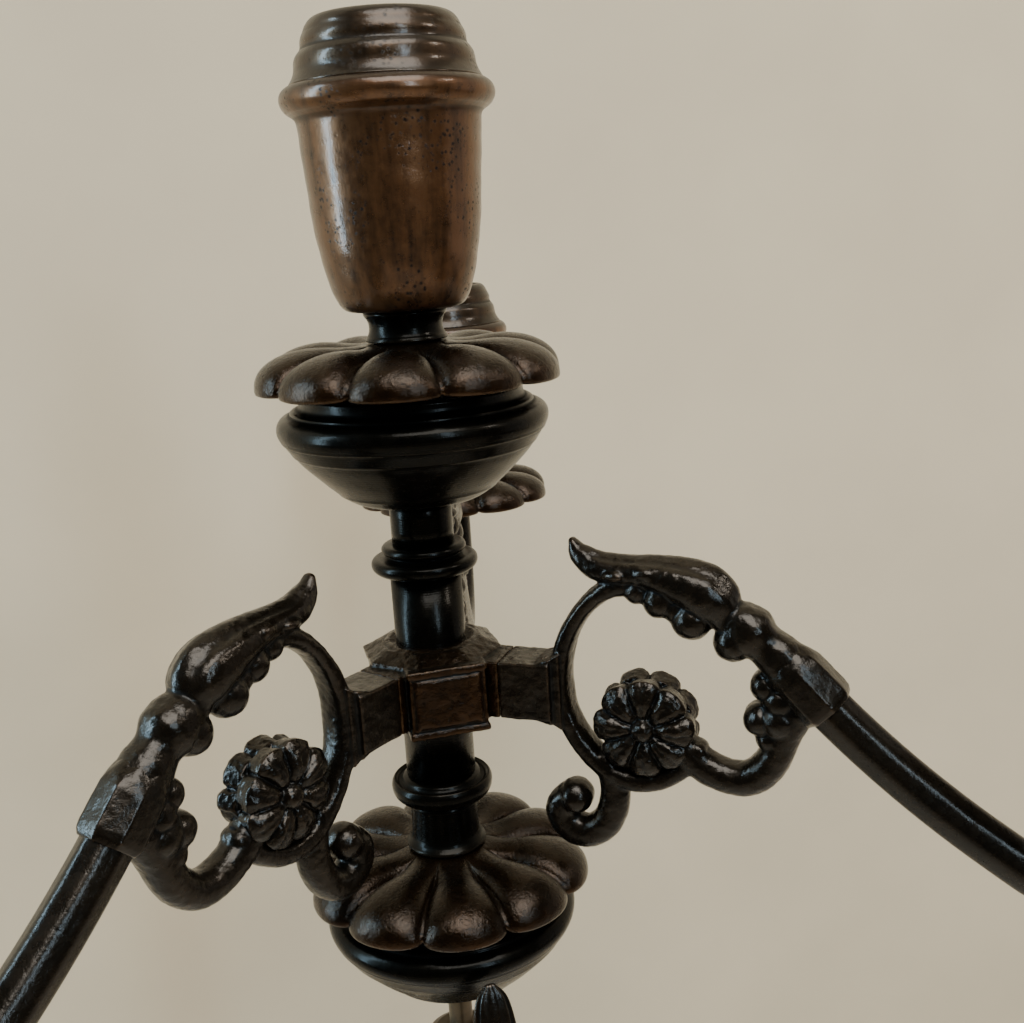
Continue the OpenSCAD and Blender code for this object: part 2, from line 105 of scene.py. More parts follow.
# ---------------------------------------------------------------- mesh helpers
def smooth_rows(rows, n):
    """Catmull-Rom through rows of numbers, n steps from each row to the next."""
    p = [np.array(r, float) for r in rows]
    out = []
    for i in range(len(p) - 1):
        a, b, c, d = p[max(i - 1, 0)], p[i], p[i + 1], p[min(i + 2, len(p) - 1)]
        for k in range(n):
            t = k / n
            out.append(0.5 * (2 * b + (c - a) * t + (2 * a - 5 * b + 4 * c - d) * t * t
                              + (3 * b - a - 3 * c + d) * t ** 3))
    out.append(p[-1])
    return out


def eased(outline, rounds=2, cut=0.25, closed=True):
    """Corner cutting. A point with a third value of 1 keeps its corner."""
    pts = [(p[0], p[1], p[2] if len(p) > 2 else 0) for p in outline]
    for _ in range(rounds):
        new = []
        n = len(pts)
        for i, (x, y, keep) in enumerate(pts):
            if keep or (not closed and i in (0, n - 1)):
                new.append((x, y, keep))
                continue
            ax, ay = pts[(i - 1) % n][:2]
            bx, by = pts[(i + 1) % n][:2]
            new.append((x + (ax - x) * cut, y + (ay - y) * cut, 0))
            new.append((x + (bx - x) * cut, y + (by - y) * cut, 0))
        pts = new
    return [(x, y) for x, y, _ in pts]


def lathe_data(outline, seg=144, ripple=None):
    """A closed outline of (radius, height) turned round the Z axis."""
    m = len(outline)
    verts, faces = [], []
    for r, z in outline:
        for k in range(seg):
            a = 2 * math.pi * k / seg
            rr = r + (ripple(z, a) if ripple else 0)
            verts.append((rr * math.cos(a), rr * math.sin(a), z))
    for i in range(m):
        j = (i + 1) % m
        for k in range(seg):
            l = (k + 1) % seg
            faces.append((i * seg + k, i * seg + l, j * seg + l, j * seg + k))
    return verts, faces


def sweep_data(rows, n=6, sides=24, power=2.0, shape=None, ends=3):
    """A solid swept along rows of [out, up, half depth, half width], with rounded ends."""
    q = smooth_rows(rows, n)
    if ends:
        d0 = (q[0] - q[1])[:2]
        d1 = (q[-1] - q[-2])[:2]
        d0 = d0 / (np.linalg.norm(d0) + 1e-9)
        d1 = d1 / (np.linalg.norm(d1) + 1e-9)
        cap0, cap1 = [], []
        for k in range(1, ends + 1):
            t = k / ends * math.pi / 2
            f, g = max(math.cos(t), 0.04), math.sin(t)
            for q_end, d, out in ((q[0], d0, cap0), (q[-1], d1, cap1)):
                r = q_end.copy()
                r[:2] = r[:2] + d * g * min(q_end[2], q_end[3]) * 0.9
                r[2] *= f
                r[3] *= f
                out.append(r)
        q = cap0[::-1] + q + cap1
    m = len(q)
    verts, faces = [], []
    for i in range(m):
        d = (q[min(i + 1, m - 1)] - q[max(i - 1, 0)])[:2]
        d = d / (np.linalg.norm(d) + 1e-9)
        u = (-d[1], d[0])
        for k in range(sides):
            a = 2 * math.pi * (k + 0.5) / sides
            c, s = math.cos(a), math.sin(a)
            e = 2.0 / power
            cc = math.copysign(abs(c) ** e, c)
            ss = math.copysign(abs(s) ** e, s)
            f = shape(i / (m - 1), a) if shape else 1.0
            h, w = q[i][2] * cc * f, q[i][3] * ss * f
            verts.append((q[i][0] + u[0] * h, w, q[i][1] + u[1] * h))
    for i in range(m - 1):
        for k in range(sides):
            l = (k + 1) % sides
            faces.append((i * sides + k, i * sides + l, (i + 1) * sides + l, (i + 1) * sides + k))
    faces.append(tuple(range(sides - 1, -1, -1)))
    faces.append(tuple((m - 1) * sides + k for k in range(sides)))
    return verts, faces


def ball_data(centre, radii, turn=None, u=28, v=18):
    """An ellipsoid. turn is a rotation matrix for its axes."""
    verts, faces = [], []
    turn = turn or Matrix.Identity(3)
    c = Vector(centre)
    for i in range(v + 1):
        t = math.pi * i / v
        for k in range(u):
            a = 2 * math.pi * k / u
            p = Vector((radii[0] * math.sin(t) * math.cos(a),
                        radii[1] * math.sin(t) * math.sin(a), radii[2] * math.cos(t)))
            verts.append(tuple(c + turn @ p))
    for i in range(v):
        for k in range(u):
            l = (k + 1) % u
            faces.append((i * u + k, (i + 1) * u + k, (i + 1) * u + l, i * u + l))
    return verts, faces


def box_data(lo, hi):
    x0, y0, z0 = lo
    x1, y1, z1 = hi
    verts = [(x0, y0, z0), (x1, y0, z0), (x1, y1, z0), (x0, y1, z0),
             (x0, y0, z1), (x1, y0, z1), (x1, y1, z1), (x0, y1, z1)]
    faces = [(0, 3, 2, 1), (4, 5, 6, 7), (0, 1, 5, 4), (1, 2, 6, 5), (2, 3, 7, 6), (3, 0, 4, 7)]
    return verts, faces


def moved(data, matrix):
    return [tuple(matrix @ Vector(v)) for v in data[0]], data[1]


def joined(*parts):
    verts, faces = [], []
    for v, f in parts:
        base = len(verts)
        verts.extend(v)
        faces.extend(tuple(i + base for i in face) for face in f)
    return verts, faces


def mesh_of(name, data, weld=True):
    me = bpy.data.meshes.new(name)
    me.from_pydata([(x * MM, y * MM, z * MM) for x, y, z in data[0]], [], data[1])
    bm = bmesh.new()
    bm.from_mesh(me)
    if weld:
        bmesh.ops.remove_doubles(bm, verts=bm.verts, dist=1e-7)
        bmesh.ops.dissolve_degenerate(bm, edges=bm.edges, dist=1e-7)
    bmesh.ops.recalc_face_normals(bm, faces=bm.faces)
    bm.to_mesh(me)
    bm.free()
    me.polygons.foreach_set("use_smooth", [True] * len(me.polygons))
    return me


def baked(obj):
    """The object's mesh with its modifiers applied."""
    deps = bpy.context.evaluated_depsgraph_get()
    me = bpy.data.meshes.new_from_object(obj.evaluated_get(deps))
    old = obj.data
    obj.modifiers.clear()
    obj.data = me
    if old.users == 0:
        bpy.data.meshes.remove(old)
    me.polygons.foreach_set("use_smooth", [True] * len(me.polygons))
    return me


def cast(name, data, voxel, easing=3, rough=0.0, grain=0.25):
    """Parts run together as one casting: remeshed, eased and made slightly uneven."""
    obj = bpy.data.objects.new(name + "_cast", mesh_of(name, data, weld=False))
    bpy.context.collection.objects.link(obj)
    mod = obj.modifiers.new("cast", "REMESH")
    mod.mode = "VOXEL"
    mod.voxel_size = voxel * MM
    mod = obj.modifiers.new("ease", "SMOOTH")
    mod.factor = 0.5
    mod.iterations = easing
    me = baked(obj)
    bpy.data.objects.remove(obj)
    if rough:
        n = len(me.vertices)
        co = np.empty(n * 3, "f")
        no = np.empty(n * 3, "f")
        me.vertices.foreach_get("co", co)
        me.vertices.foreach_get("normal", no)
        co, no = co.reshape(-1, 3), no.reshape(-1, 3)
        lift = np.array([noise.fractal(Vector(p) * grain / MM, 0.8, 2.1, 3) for p in co])
        co += no * (lift * rough * MM)[:, None]
        me.vertices.foreach_set("co", co.ravel())
        me.update()
    return me


def wear_of(me, scale=0.5, spread=2):
    """Stores how far each point stands out of its surroundings, for the rubbed edges."""
    n = len(me.vertices)
    co = np.empty(n * 3, "f")
    no = np.empty(n * 3, "f")
    ed = np.empty(len(me.edges) * 2, "i")
    me.vertices.foreach_get("co", co)
    me.vertices.foreach_get("normal", no)
    me.edges.foreach_get("vertices", ed)
    co, no, ed = co.reshape(-1, 3), no.reshape(-1, 3), ed.reshape(-1, 2)
    d = co[ed[:, 1]] - co[ed[:, 0]]
    length = np.linalg.norm(d, axis=1) + 1e-9
    k0 = -(no[ed[:, 0]] * d).sum(1) / length ** 2
    k1 = (no[ed[:, 1]] * d).sum(1) / length ** 2
    cur, cnt = np.zeros(n), np.zeros(n)
    np.add.at(cur, ed[:, 0], k0)
    np.add.at(cur, ed[:, 1], k1)
    np.add.at(cnt, ed[:, 0], 1)
    np.add.at(cnt, ed[:, 1], 1)
    cur = cur / np.maximum(cnt, 1) * MM
    for _ in range(spread):
        acc = cur.copy()
        num = np.ones(n)
        np.add.at(acc, ed[:, 0], cur[ed[:, 1]])
        np.add.at(acc, ed[:, 1], cur[ed[:, 0]])
        np.add.at(num, ed[:, 0], 1)
        np.add.at(num, ed[:, 1], 1)
        cur = acc / num
    att = me.attributes.new("wear", "FLOAT", "POINT")
    att.data.foreach_set("value", np.clip(cur / scale, -1, 1).astype("f"))
    return me


def piece(name, me, material, body, matrix, nodes=(), wear=True):
    """Places one piece, gives it its look and makes it ride on its body."""
    if wear and "wear" not in me.attributes:
        wear_of(me)
    me = me.copy()
    me.transform(matrix)
    if matrix.determinant() < 0:
        me.flip_normals()
    obj = bpy.data.objects.new(name, me)
    bpy.context.collection.objects.link(obj)
    if not me.materials:
        me.materials.append(material)
    bpy.context.view_layer.update()
    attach(obj, body)
    if nodes:
        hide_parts(*nodes)
    return obj


# ---------------------------------------------------------------- materials
def tree(name):
    mat = bpy.data.materials.new(name)
    mat.use_nodes = True
    nt = mat.node_tree
    nt.nodes.clear()
    out = nt.nodes.new("ShaderNodeOutputMaterial")
    bsdf = nt.nodes.new("ShaderNodeBsdfPrincipled")
    nt.links.new(bsdf.outputs[0], out.inputs[0])
    return mat, nt, bsdf


def add(nt, kind, **values):
    node = nt.nodes.new(kind)
    for key, value in values.items():
        if key.startswith("in_"):
            node.inputs[key[3:].replace("_", " ")].default_value = value
        else:
            setattr(node, key, value)
    return node


def noise_node(nt, coord, scale, detail=4.0, rough=0.55, stretch=None):
    if stretch:
        m = add(nt, "ShaderNodeMapping")
        m.inputs["Scale"].default_value = stretch
        nt.links.new(coord, m.inputs["Vector"])
        coord = m.outputs[0]
    n = add(nt, "ShaderNodeTexNoise")
    n.inputs["Scale"].default_value = scale
    n.inputs["Detail"].default_value = detail
    n.inputs["Roughness"].default_value = rough
    nt.links.new(coord, n.inputs["Vector"])
    return n.outputs["Fac"]


def ramp(nt, fac, stops):
    r = add(nt, "ShaderNodeValToRGB")
    while len(r.color_ramp.elements) < len(stops):
        r.color_ramp.elements.new(0.5)
    for e, (pos, col) in zip(r.color_ramp.elements, stops):
        e.position = pos
        e.color = (*col, 1) if not isinstance(col, (int, float)) else (col, col, col, 1)
    nt.links.new(fac, r.inputs[0])
    return r.outputs[0]


def math_node(nt, op, a, b=None, clamp=False):
    m = add(nt, "ShaderNodeMath", operation=op, use_clamp=clamp)
    for i, v in enumerate((a, b)):
        if v is None:
            continue
        if isinstance(v, (int, float)):
            m.inputs[i].default_value = v
        else:
            nt.links.new(v, m.inputs[i])
    return m.outputs[0]


def mix(nt, fac, a, b):
    m = add(nt, "ShaderNodeMix", data_type="RGBA")
    for i, v in ((0, fac), (6, a), (7, b)):
        if isinstance(v, (int, float)):
            m.inputs[i].default_value = v
        elif isinstance(v, tuple):
            m.inputs[i].default_value = (*v, 1)
        else:
            nt.links.new(v, m.inputs[i])
    return m.outputs[2]


# noise scales, per metre, and the depth of the bump, in metres
PATCH_SCALE, MOTTLE_SCALE, FINE_SCALE, PIT_SCALE, MARK_SCALE = 95, 420, 1900, 780, 520
BUMP_DEPTH = 0.0004


def bronze(name, dark, mid, bright, warm=0.5, gloss=0.3, pits=0.3, lines=0.0, streaks=0.0, grit=0.25,
           rubbed=1.0, metal=0.72, coat=0.22, spec=0.34, top_shade_and_dust=0.5):
    """Patinated bronze: black in the hollows, brown on the open faces, rubbed on the edges.

    warm shifts the balance towards brown, lines adds turning marks, streaks runs down a cup,
    top_shade_and_dust darkens the faces that look up with painted shade and dulls them as dust would.
    """
    mat, nt, bsdf = tree(name)
    link = nt.links.new
    coord = add(nt, "ShaderNodeTexCoord").outputs["Object"]
    patches = noise_node(nt, coord, PATCH_SCALE, 5, 0.6)
    mottle = noise_node(nt, coord, MOTTLE_SCALE, 5, 0.65)
    fine = noise_node(nt, coord, FINE_SCALE, 3, 0.6)
    wear = add(nt, "ShaderNodeAttribute", attribute_name="wear").outputs["Fac"]
    blend = math_node(nt, "MULTIPLY_ADD", mottle, 0.55)
    nt.nodes[-1].inputs[2].default_value = warm - 0.62
    blend = math_node(nt, "ADD", blend, math_node(nt, "MULTIPLY", patches, 0.75))
    if streaks:
        run = noise_node(nt, coord, 60, 3, 0.6, stretch=(6, 6, 0.35))
        blend = math_node(nt, "ADD", blend, math_node(nt, "MULTIPLY",
                          math_node(nt, "SUBTRACT", run, 0.5), streaks))
    body = ramp(nt, blend, [(0.18, dark), (0.42, tuple(0.5 * (d + m) for d, m in zip(dark, mid))),
                            (0.7, mid)])
    rub = math_node(nt, "MULTIPLY", wear, math_node(nt, "MULTIPLY", patches, 1.7))
    rub = math_node(nt, "MULTIPLY", rub, math_node(nt, "ADD", mottle, 0.2))
    rub = math_node(nt, "MULTIPLY", math_node(nt, "SUBTRACT", rub, 0.2), 1.7 * rubbed, clamp=True)
    colour = mix(nt, math_node(nt, "MULTIPLY", rub, 0.75), body, bright)
    hollow = math_node(nt, "MULTIPLY", wear, -2.4, clamp=True)
    colour = mix(nt, hollow, colour, tuple(0.4 * d for d in dark))
    # Painted shade: faces that look up are darkened towards the dark colour, standing in for less light
    # reflected from above; the same mask also roughens them, like dust.
    facing = add(nt, "ShaderNodeSeparateXYZ")
    link(add(nt, "ShaderNodeNewGeometry").outputs["Normal"], facing.inputs[0])
    top_shade_and_dust_mask = math_node(nt, "MULTIPLY", math_node(nt, "ADD", facing.outputs[2], 0.05), 1.5, clamp=True)
    top_shade_and_dust_mask = math_node(nt, "MULTIPLY", top_shade_and_dust_mask, top_shade_and_dust)
    colour = mix(nt, top_shade_and_dust_mask, colour, (1.15 * dark[0], 1.15 * dark[1], 1.05 * dark[2]))
    wobble = add(nt, "ShaderNodeMix", data_type="RGBA", blend_type="LINEAR_LIGHT")
    wobble.inputs[0].default_value = 0.0006
    link(coord, wobble.inputs[6])
    link(add(nt, "ShaderNodeTexNoise", in_Scale=900.0).outputs["Color"], wobble.inputs[7])
    cells = add(nt, "ShaderNodeTexVoronoi", feature="F1")
    cells.inputs["Scale"].default_value = PIT_SCALE
    link(wobble.outputs[2], cells.inputs["Vector"])
    where = noise_node(nt, coord, 90, 2, 0.5, stretch=(1, 1, 0.45))
    size = math_node(nt, "MULTIPLY", math_node(nt, "SUBTRACT", where, 0.46), 2.4, clamp=True)
    pit = math_node(nt, "SUBTRACT", math_node(nt, "MINIMUM", size, 0.36), cells.outputs["Distance"])
    pit = math_node(nt, "MULTIPLY", math_node(nt, "MULTIPLY", pit, 9.0, clamp=True), pits)
    colour = mix(nt, pit, colour, tuple(0.3 * d for d in dark))
    link(colour, bsdf.inputs["Base Color"])
    rough = math_node(nt, "ADD", math_node(nt, "MULTIPLY", mottle, 0.26), gloss - 0.1)
    rough = math_node(nt, "ADD", rough, math_node(nt, "MULTIPLY", hollow, 0.25))
    rough = math_node(nt, "ADD", rough, math_node(nt, "MULTIPLY", top_shade_and_dust_mask, 0.12))
    rough = math_node(nt, "ADD", rough, math_node(nt, "MULTIPLY", pit, 0.4))
    link(math_node(nt, "MAXIMUM", rough, 0.12), bsdf.inputs["Roughness"])
    bsdf.inputs["Metallic"].default_value = metal
    bsdf.inputs["Specular IOR Level"].default_value = spec
    bsdf.inputs["Coat Weight"].default_value = coat
    bsdf.inputs["Coat Roughness"].default_value = 0.1
    height = math_node(nt, "MULTIPLY", fine, grit)
    height = math_node(nt, "ADD", height, math_node(nt, "MULTIPLY", mottle, grit * 2.4))
    height = math_node(nt, "ADD", height, math_node(nt, "MULTIPLY", patches, grit * 3.0))
    height = math_node(nt, "SUBTRACT", height, math_node(nt, "MULTIPLY", pit, 0.03))
    if lines:
        wave = add(nt, "ShaderNodeTexWave", wave_type="BANDS", bands_direction="Z")
        wave.inputs["Scale"].default_value = MARK_SCALE
        wave.inputs["Distortion"].default_value = 1.2
        wave.inputs["Detail"].default_value = 2
        link(coord, wave.inputs["Vector"])
        faint = math_node(nt, "MULTIPLY", wave.outputs["Fac"],
                          math_node(nt, "MULTIPLY", patches, lines))
        height = math_node(nt, "ADD", height, faint)
    bump = add(nt, "ShaderNodeBump")
    bump.inputs["Strength"].default_value = 0.5
    bump.inputs["Distance"].default_value = BUMP_DEPTH
    link(height, bump.inputs["Height"])
    link(bump.outputs[0], bsdf.inputs["Normal"])
    link(bump.outputs[0], bsdf.inputs["Coat Normal"])
    return mat


def porcelain():
    mat, nt, bsdf = tree("porcelain")
    coord = add(nt, "ShaderNodeTexCoord").outputs["Object"]
    specks = noise_node(nt, coord, 700, 4, 0.6)
    nt.links.new(ramp(nt, specks, [(0.3, (0.7, 0.67, 0.6)), (0.6, (0.82, 0.8, 0.74))]),
                 bsdf.inputs["Base Color"])
    bsdf.inputs["Roughness"].default_value = 0.22
    bsdf.inputs["Coat Weight"].default_value = 0.5
    return mat


def plaster(name, tone):
    """A matt surface, seen from the room only, so that it hides nothing from behind."""
    mat, nt, bsdf = tree(name)
    coord = add(nt, "ShaderNodeTexCoord").outputs["Object"]
    cloud = noise_node(nt, coord, 5, 5, 0.55)
    lo, hi = tuple(0.9 * t for t in tone), tone
    nt.links.new(ramp(nt, cloud, [(0.35, lo), (0.65, hi)]), bsdf.inputs["Base Color"])
    bsdf.inputs["Roughness"].default_value = 0.92
    one_sided = add(nt, "ShaderNodeMixShader")
    nt.links.new(add(nt, "ShaderNodeNewGeometry").outputs["Backfacing"], one_sided.inputs[0])
    nt.links.new(bsdf.outputs[0], one_sided.inputs[1])
    nt.links.new(add(nt, "ShaderNodeBsdfTransparent").outputs[0], one_sided.inputs[2])
    nt.links.new(one_sided.outputs[0], nt.nodes["Material Output"].inputs[0])
    return mat


DARK = bronze("dark_bronze", (0.0042, 0.0040, 0.0029), (0.0180, 0.0120, 0.0064), (0.076, 0.046, 0.025),
              warm=0.44, gloss=0.22, pits=0.3, rubbed=0.65, coat=0.26, spec=0.26, top_shade_and_dust=0.3)
CAST = bronze("cast_bronze", (0.0038, 0.0032, 0.0017), (0.0350, 0.0152, 0.0046), (0.110, 0.057, 0.022),
              warm=0.50, gloss=0.17, pits=0.4, grit=0.5, rubbed=0.6, metal=0.82, coat=0.2, spec=0.14,
              top_shade_and_dust=0.65)
COPPER = bronze("copper_bronze", (0.0190, 0.0102, 0.0052), (0.1180, 0.0530, 0.0205), (0.16, 0.086, 0.042),
                warm=0.54, gloss=0.27, pits=1.0, streaks=1.2, grit=0.12, rubbed=0.4, coat=0.34, spec=0.34,
                top_shade_and_dust=1.0)
BROWN = bronze("brown_bronze", (0.0110, 0.0076, 0.0045), (0.0640, 0.0350, 0.0155), (0.12, 0.068, 0.034),
               warm=0.5, gloss=0.24, pits=0.7, streaks=0.6, grit=0.12, rubbed=0.4, coat=0.3, spec=0.3,
               top_shade_and_dust=1.0)
BLACK = bronze("black_bronze", (0.0022, 0.0021, 0.0016), (0.0068, 0.0055, 0.0033), (0.045, 0.031, 0.018),
               warm=0.36, gloss=0.22, pits=0.06, lines=0.07, grit=0.10, rubbed=0.5, coat=0.07, spec=0.09,
               top_shade_and_dust=0.5)
BRASS = bronze("old_brass", (0.03, 0.022, 0.014), (0.14, 0.10, 0.055), (0.3, 0.22, 0.11),
               warm=0.5, gloss=0.36, pits=0.2, grit=0.12)
SHELL = bronze("shell_brass", (0.10, 0.066, 0.03), (0.42, 0.29, 0.13), (0.62, 0.45, 0.22),
               warm=0.6, gloss=0.34, pits=0.2, grit=0.12)
CERAMIC = porcelain()


# ---------------------------------------------------------------- turned parts
def turned(name, outline, z, mat, body="cluster", place=None, nodes=None, rounds=2, ripple=None):
    me = mesh_of(name, lathe_data(eased(outline, rounds), ripple=ripple))
    where = (place or column()) @ shift(0, 0, z)
    return piece(name + "_turned", me, mat, body, where, nodes or (name,))


def bowl(name):
    out = [(ROD_R, 0.1, 1), (14.4, 0.1), (16.8, 1.1), (18.6, 2.4), (19.3, 2.8), (19.8, 3.5), (22.2, 5.6),
           (24.9, 8.2), (27.8, 11.2), (29.2, 13), (29.7, 13.3), (30, 13.9), (31.4, 16.2), (31.8, 16.4),
           (32.1, 17.2), (32.3, 17.5), (BOWL_R, 18.6), (BOWL_R, 20), (BOWL_R - 0.5, 21.2), (31.2, 22.2),
           (29.8, 22.6), (29.3, 22.9), (29.2, 23.4), (28.6, 23.8), (27.5, 24.1), (27.1, 24.6),
           (26.9, 25.6), (26.9, 27.1), (24.9, 27.15), (24.6, 22.8), (26.4, 21), (28.6, 19), (27, 15.4),
           (23, 10.2), (17, 4.8), (14, 3.3), (9.5, 3.1), (8, 5), (8, 35.4, 1), (ROD_R, 35.4, 1)]
    turned(name, out, low(name), BLACK, ripple=turned_marks)


def turned_marks(z, a):
    """Barely uneven, as an old turned part is."""
    return 0.06 * math.sin(2 * a + 0.4 * z) + 0.035 * math.sin(5 * a + z)


bowl("lower_bowl")
bowl("upper_bowl")
turned("ferrule", [(ROD_R, 0.05, 1), (10.2, 0.05), (10.4, 0.9), (9.6, 1.6), (9, 2.4), (8.7, 4), (8.6, 10),
                   (8.9, 12.95, 1), (ROD_R, 12.95, 1)], low("ferrule"), BLACK)
turned("lower_collar", [(ROD_R, 0.05, 1), (9.4, 0.05), (11.4, 0.7), (12.8, 2.2), (13.1, 4.2),
                        (12.8, 5.3), (12.3, 5.95), (11.7, 5.6), (11.2, 5.2), (10.4, 5.4), (9.6, 6.95),
                        (ROD_R, 6.95, 1)], low("lower_collar"), BLACK, rounds=3)
turned("upper_collar", [(ROD_R, 0.05, 1), (10.4, 0.05), (12.2, 0.6), (13.2, 1.7), (13.2, 3.2),
                        (12.4, 4), (10.2, 4.2), (9.1, 4.7), (9.9, 5.1), (10.6, 5.9), (10.2, 7),
                        (9.1, 7.45), (ROD_R, 7.45, 1)], low("upper_collar"), BLACK,
       rounds=3)


def tube_outline(r, h):
    return [(ROD_R, 0.05, 1), (r, 0.05, 1), (r, h * 0.33, 1), (r, h * 0.66, 1), (r, h - 0.05, 1),
            (ROD_R, h - 0.05, 1)]


turned("column_tube", tube_outline(8.85, height("column_tube")), low("column_tube"), BLACK)
turned("upper_tube", tube_outline(7.7, height("upper_tube")), low("upper_tube"), BLACK)


# ---------------------------------------------------------------- drip pans
CREST_FLAT, CREST_DROP = 22.5, 9.1     # where the petals start to fall, and how far
CREASE = 4.6                           # how deep the creases between petals are
PAN_WALL = 2.3
INSET = 0.15                           # the pan's mesh stays this far inside its node


def pan_crest():
    """The petals' middle line from the neck out: flat, then a quarter ellipse down to the lip."""
    start, stop, flat_steps, fall_steps = ROD_R + INSET, PAN_R - INSET, 12, 24
    line = [(start + (CREST_FLAT - start) * i / flat_steps,
             PAN_H - 0.5 * math.sin(math.pi * i / flat_steps) ** 2) for i in range(flat_steps)]
    for i in range(fall_steps + 1):
        t = math.radians(90 * i / fall_steps)
        line.append((CREST_FLAT + (stop - CREST_FLAT) * math.sin(t),
                     PAN_H - CREST_DROP + CREST_DROP * math.cos(t) ** 0.85))
    return line


def pan_data(per_petal=26):
    """Drooping pan with fat petals between sharp creases and a rounded lip."""
    n = PETALS * per_petal
    crest = pan_crest()
    m = len(crest)
    normals = []
    for i in range(m):
        p, q = crest[max(i - 1, 0)], crest[min(i + 1, m - 1)]
        d = Vector((q[0] - p[0], q[1] - p[1])).normalized()
        normals.append(Vector((-d.y, d.x)))
    normals[-1] = Vector((1, 0))

    def section(a):
        u = ((a * PETALS / (2 * math.pi) + 0.5) % 1.0) * 2 - 1
        b = max(0.0, 1 - abs(u) ** 2.1) ** 0.5
        top, under = [], []
        for i, ((r, z), nor) in enumerate(zip(crest, normals)):
            grow = min(1.0, max(0.0, (r - 9.5) / 11.0))
            grow = grow * grow * (3 - 2 * grow)
            tip = max(0.0, (i - m + 7) / 6)
            sink = CREASE * grow * (1 - b) * (1 - 0.12 * tip)
            thick = PAN_WALL - 0.8 * tip
            top.append((r - nor.x * sink, z - nor.y * sink + 0.5 * tip * (1 - b)))
            under.append((r - nor.x * (0.75 * sink + thick), z - nor.y * (0.75 * sink + thick)))
        x, z = top[-1]
        lip = [(x - 0.15, z - 0.55), (x - 0.75, z - 0.85), (x - 1.3, z - 0.6)]
        return top + lip + under[::-1]

    rows = None
    verts, faces = [], []
    for k in range(n):
        a = 2 * math.pi * k / n
        sec = section(a)
        rows = len(sec)
        verts.extend((r * math.cos(a), r * math.sin(a), z) for r, z in sec)
    for k in range(n):
        l = (k + 1) % n
        for j in range(rows):
            i = (j + 1) % rows
            faces.append((k * rows + j, k * rows + i, l * rows + i, l * rows + j))
    return verts, faces


pan_mesh = mesh_of("drip_pan", pan_data(), weld=False)
wear_of(pan_mesh, 0.35)


def pan(name, place, turn):
    piece(name + "_petals", pan_mesh, CAST, "cluster",
          place @ spun(turn, "Z"), (name,))


def rim(node):
    """The foot of a pan, from the top of its node."""
    return column(high(node) - PAN_H)


pan("lower_pan", rim("lower_pan"), LOWER_PAN_TURN)
pan("upper_pan", rim("upper_pan"), UPPER_PAN_TURN)
for side in ARM_TURNS:
    pan(side + "_pan", arm(side) @ shift(ARM_REACH, 0, ARM_RISE), 0)


# ---------------------------------------------------------------- lamp cups
def cup_group(prefix, place):
    """Neck, cup with its ring, stepped cap, lampholder and screw shell. place is the cup's foot."""
    turned(prefix + "_neck", [(ROD_R, 0.05, 1), (9.8, 0.05), (9.7, 0.9), (9.1, 1.7), (8.8, 2.6), (8.7, 4),
                              (9.1, 5.4), (9.9, 6.3), (9.9, 7.15, 1), (ROD_R, 7.15, 1)],
           -NECK_H, BLACK, place=place)
    body = [(ROD_R, 0.1, 1), (11.6, 0.1), (13.4, 0.4), (14.6, 1.2), (15.5, 2.8), (16.6, 5.6), (17.7, 9.4),
            (18.6, 14), (19.3, 19), (19.9, 25), (20.5, 34), (21, RING_UP - 5.6), (21.3, RING_UP - 4),
            (22.3, RING_UP - 3.1), (23.5, RING_UP - 2.4), (RING_R - 0.1, RING_UP - 1),
            (RING_R + 0.1, RING_UP + 0.3), (24.2, RING_UP + 1.7), (23.4, RING_UP + 2.6),
            (22.6, RING_UP + 3.08, 1), (18.2, RING_UP + 3.1, 1),
            (18.2, 34, 1), (17.2, 20), (15, 8), (13, 3), (ROD_R, 3, 1)]
    turned(prefix + "_cup", body, 0, COPPER, place=place, rounds=3, ripple=turned_marks)
    cap = [(15.8, 0.0, 1), (22.4, 0.02, 1), (21.7, 0.9), (21, 2.1), (20.55, 3.3), (20.45, 4.8), (20.1, 6.2),
           (19.4, 7.1), (18.85, 7.7), (18.7, 8.5), (18.75, 9.5), (18.3, 10.7), (17.85, 11.5), (17.5, 12.5),
           (16.6, 13.8), (15.4, 14.5), (14.5, 14.3), (14.2, 13.4), (14.2, 6.4, 1), (15.8, 6, 1)]
    turned(prefix + "_cap", cap, RING_UP + 3.1, BROWN, place=place, rounds=3,
           ripple=turned_marks)
    top = RING_UP + 8.6
    holder = [(7, 3, 1), (11, 3, 1), (11.2, 17), (15.2, 20), (15.4, top), (14.6, top), (13.75, top - 1, 1),
              (13.75, 27, 1), (3, 27, 1), (3, 22, 1), (7, 19, 1)]
    turned(prefix + "_lampholder", holder, 0, CERAMIC, place=place)
    pitch, turns = 3.6, 7
    shell = [(4.4, 26.9, 1), (13.6, 26.9, 1)]
    for i in range(turns * 4 + 1):
        shell.append((13.35 + 0.28 * math.cos(i * math.pi / 2), 27.6 + i * pitch / 4))
    shell.append((13.65, top + 0.4, 1))
    shell.append((13.2, top + 0.4, 1))
    for i in range(turns * 4, -1, -1):
        shell.append((12.9 + 0.28 * math.cos(i * math.pi / 2), 27.6 + i * pitch / 4))
    shell += [(12.9, 27.4, 1), (4.4, 27.4, 1)]
    turned(prefix + "_shell", shell, 0, SHELL, place=place, rounds=1)
    contact = [(0.01, 27.1, 1), (3.4, 27.1), (3.6, 27.8), (2.6, 28.6), (0.01, 28.8)]
    me = mesh_of(prefix + "_contact", lathe_data(eased(contact, 2, closed=False), 48))
    piece(prefix + "_contact", me, SHELL, "cluster", place)


cup_group("top", column(low("top_cup")))
for side in ARM_TURNS:
    foot = ARM_RISE + PAN_H + NECK_H
    cup_group(side, arm(side) @ shift(ARM_REACH, 0, foot))


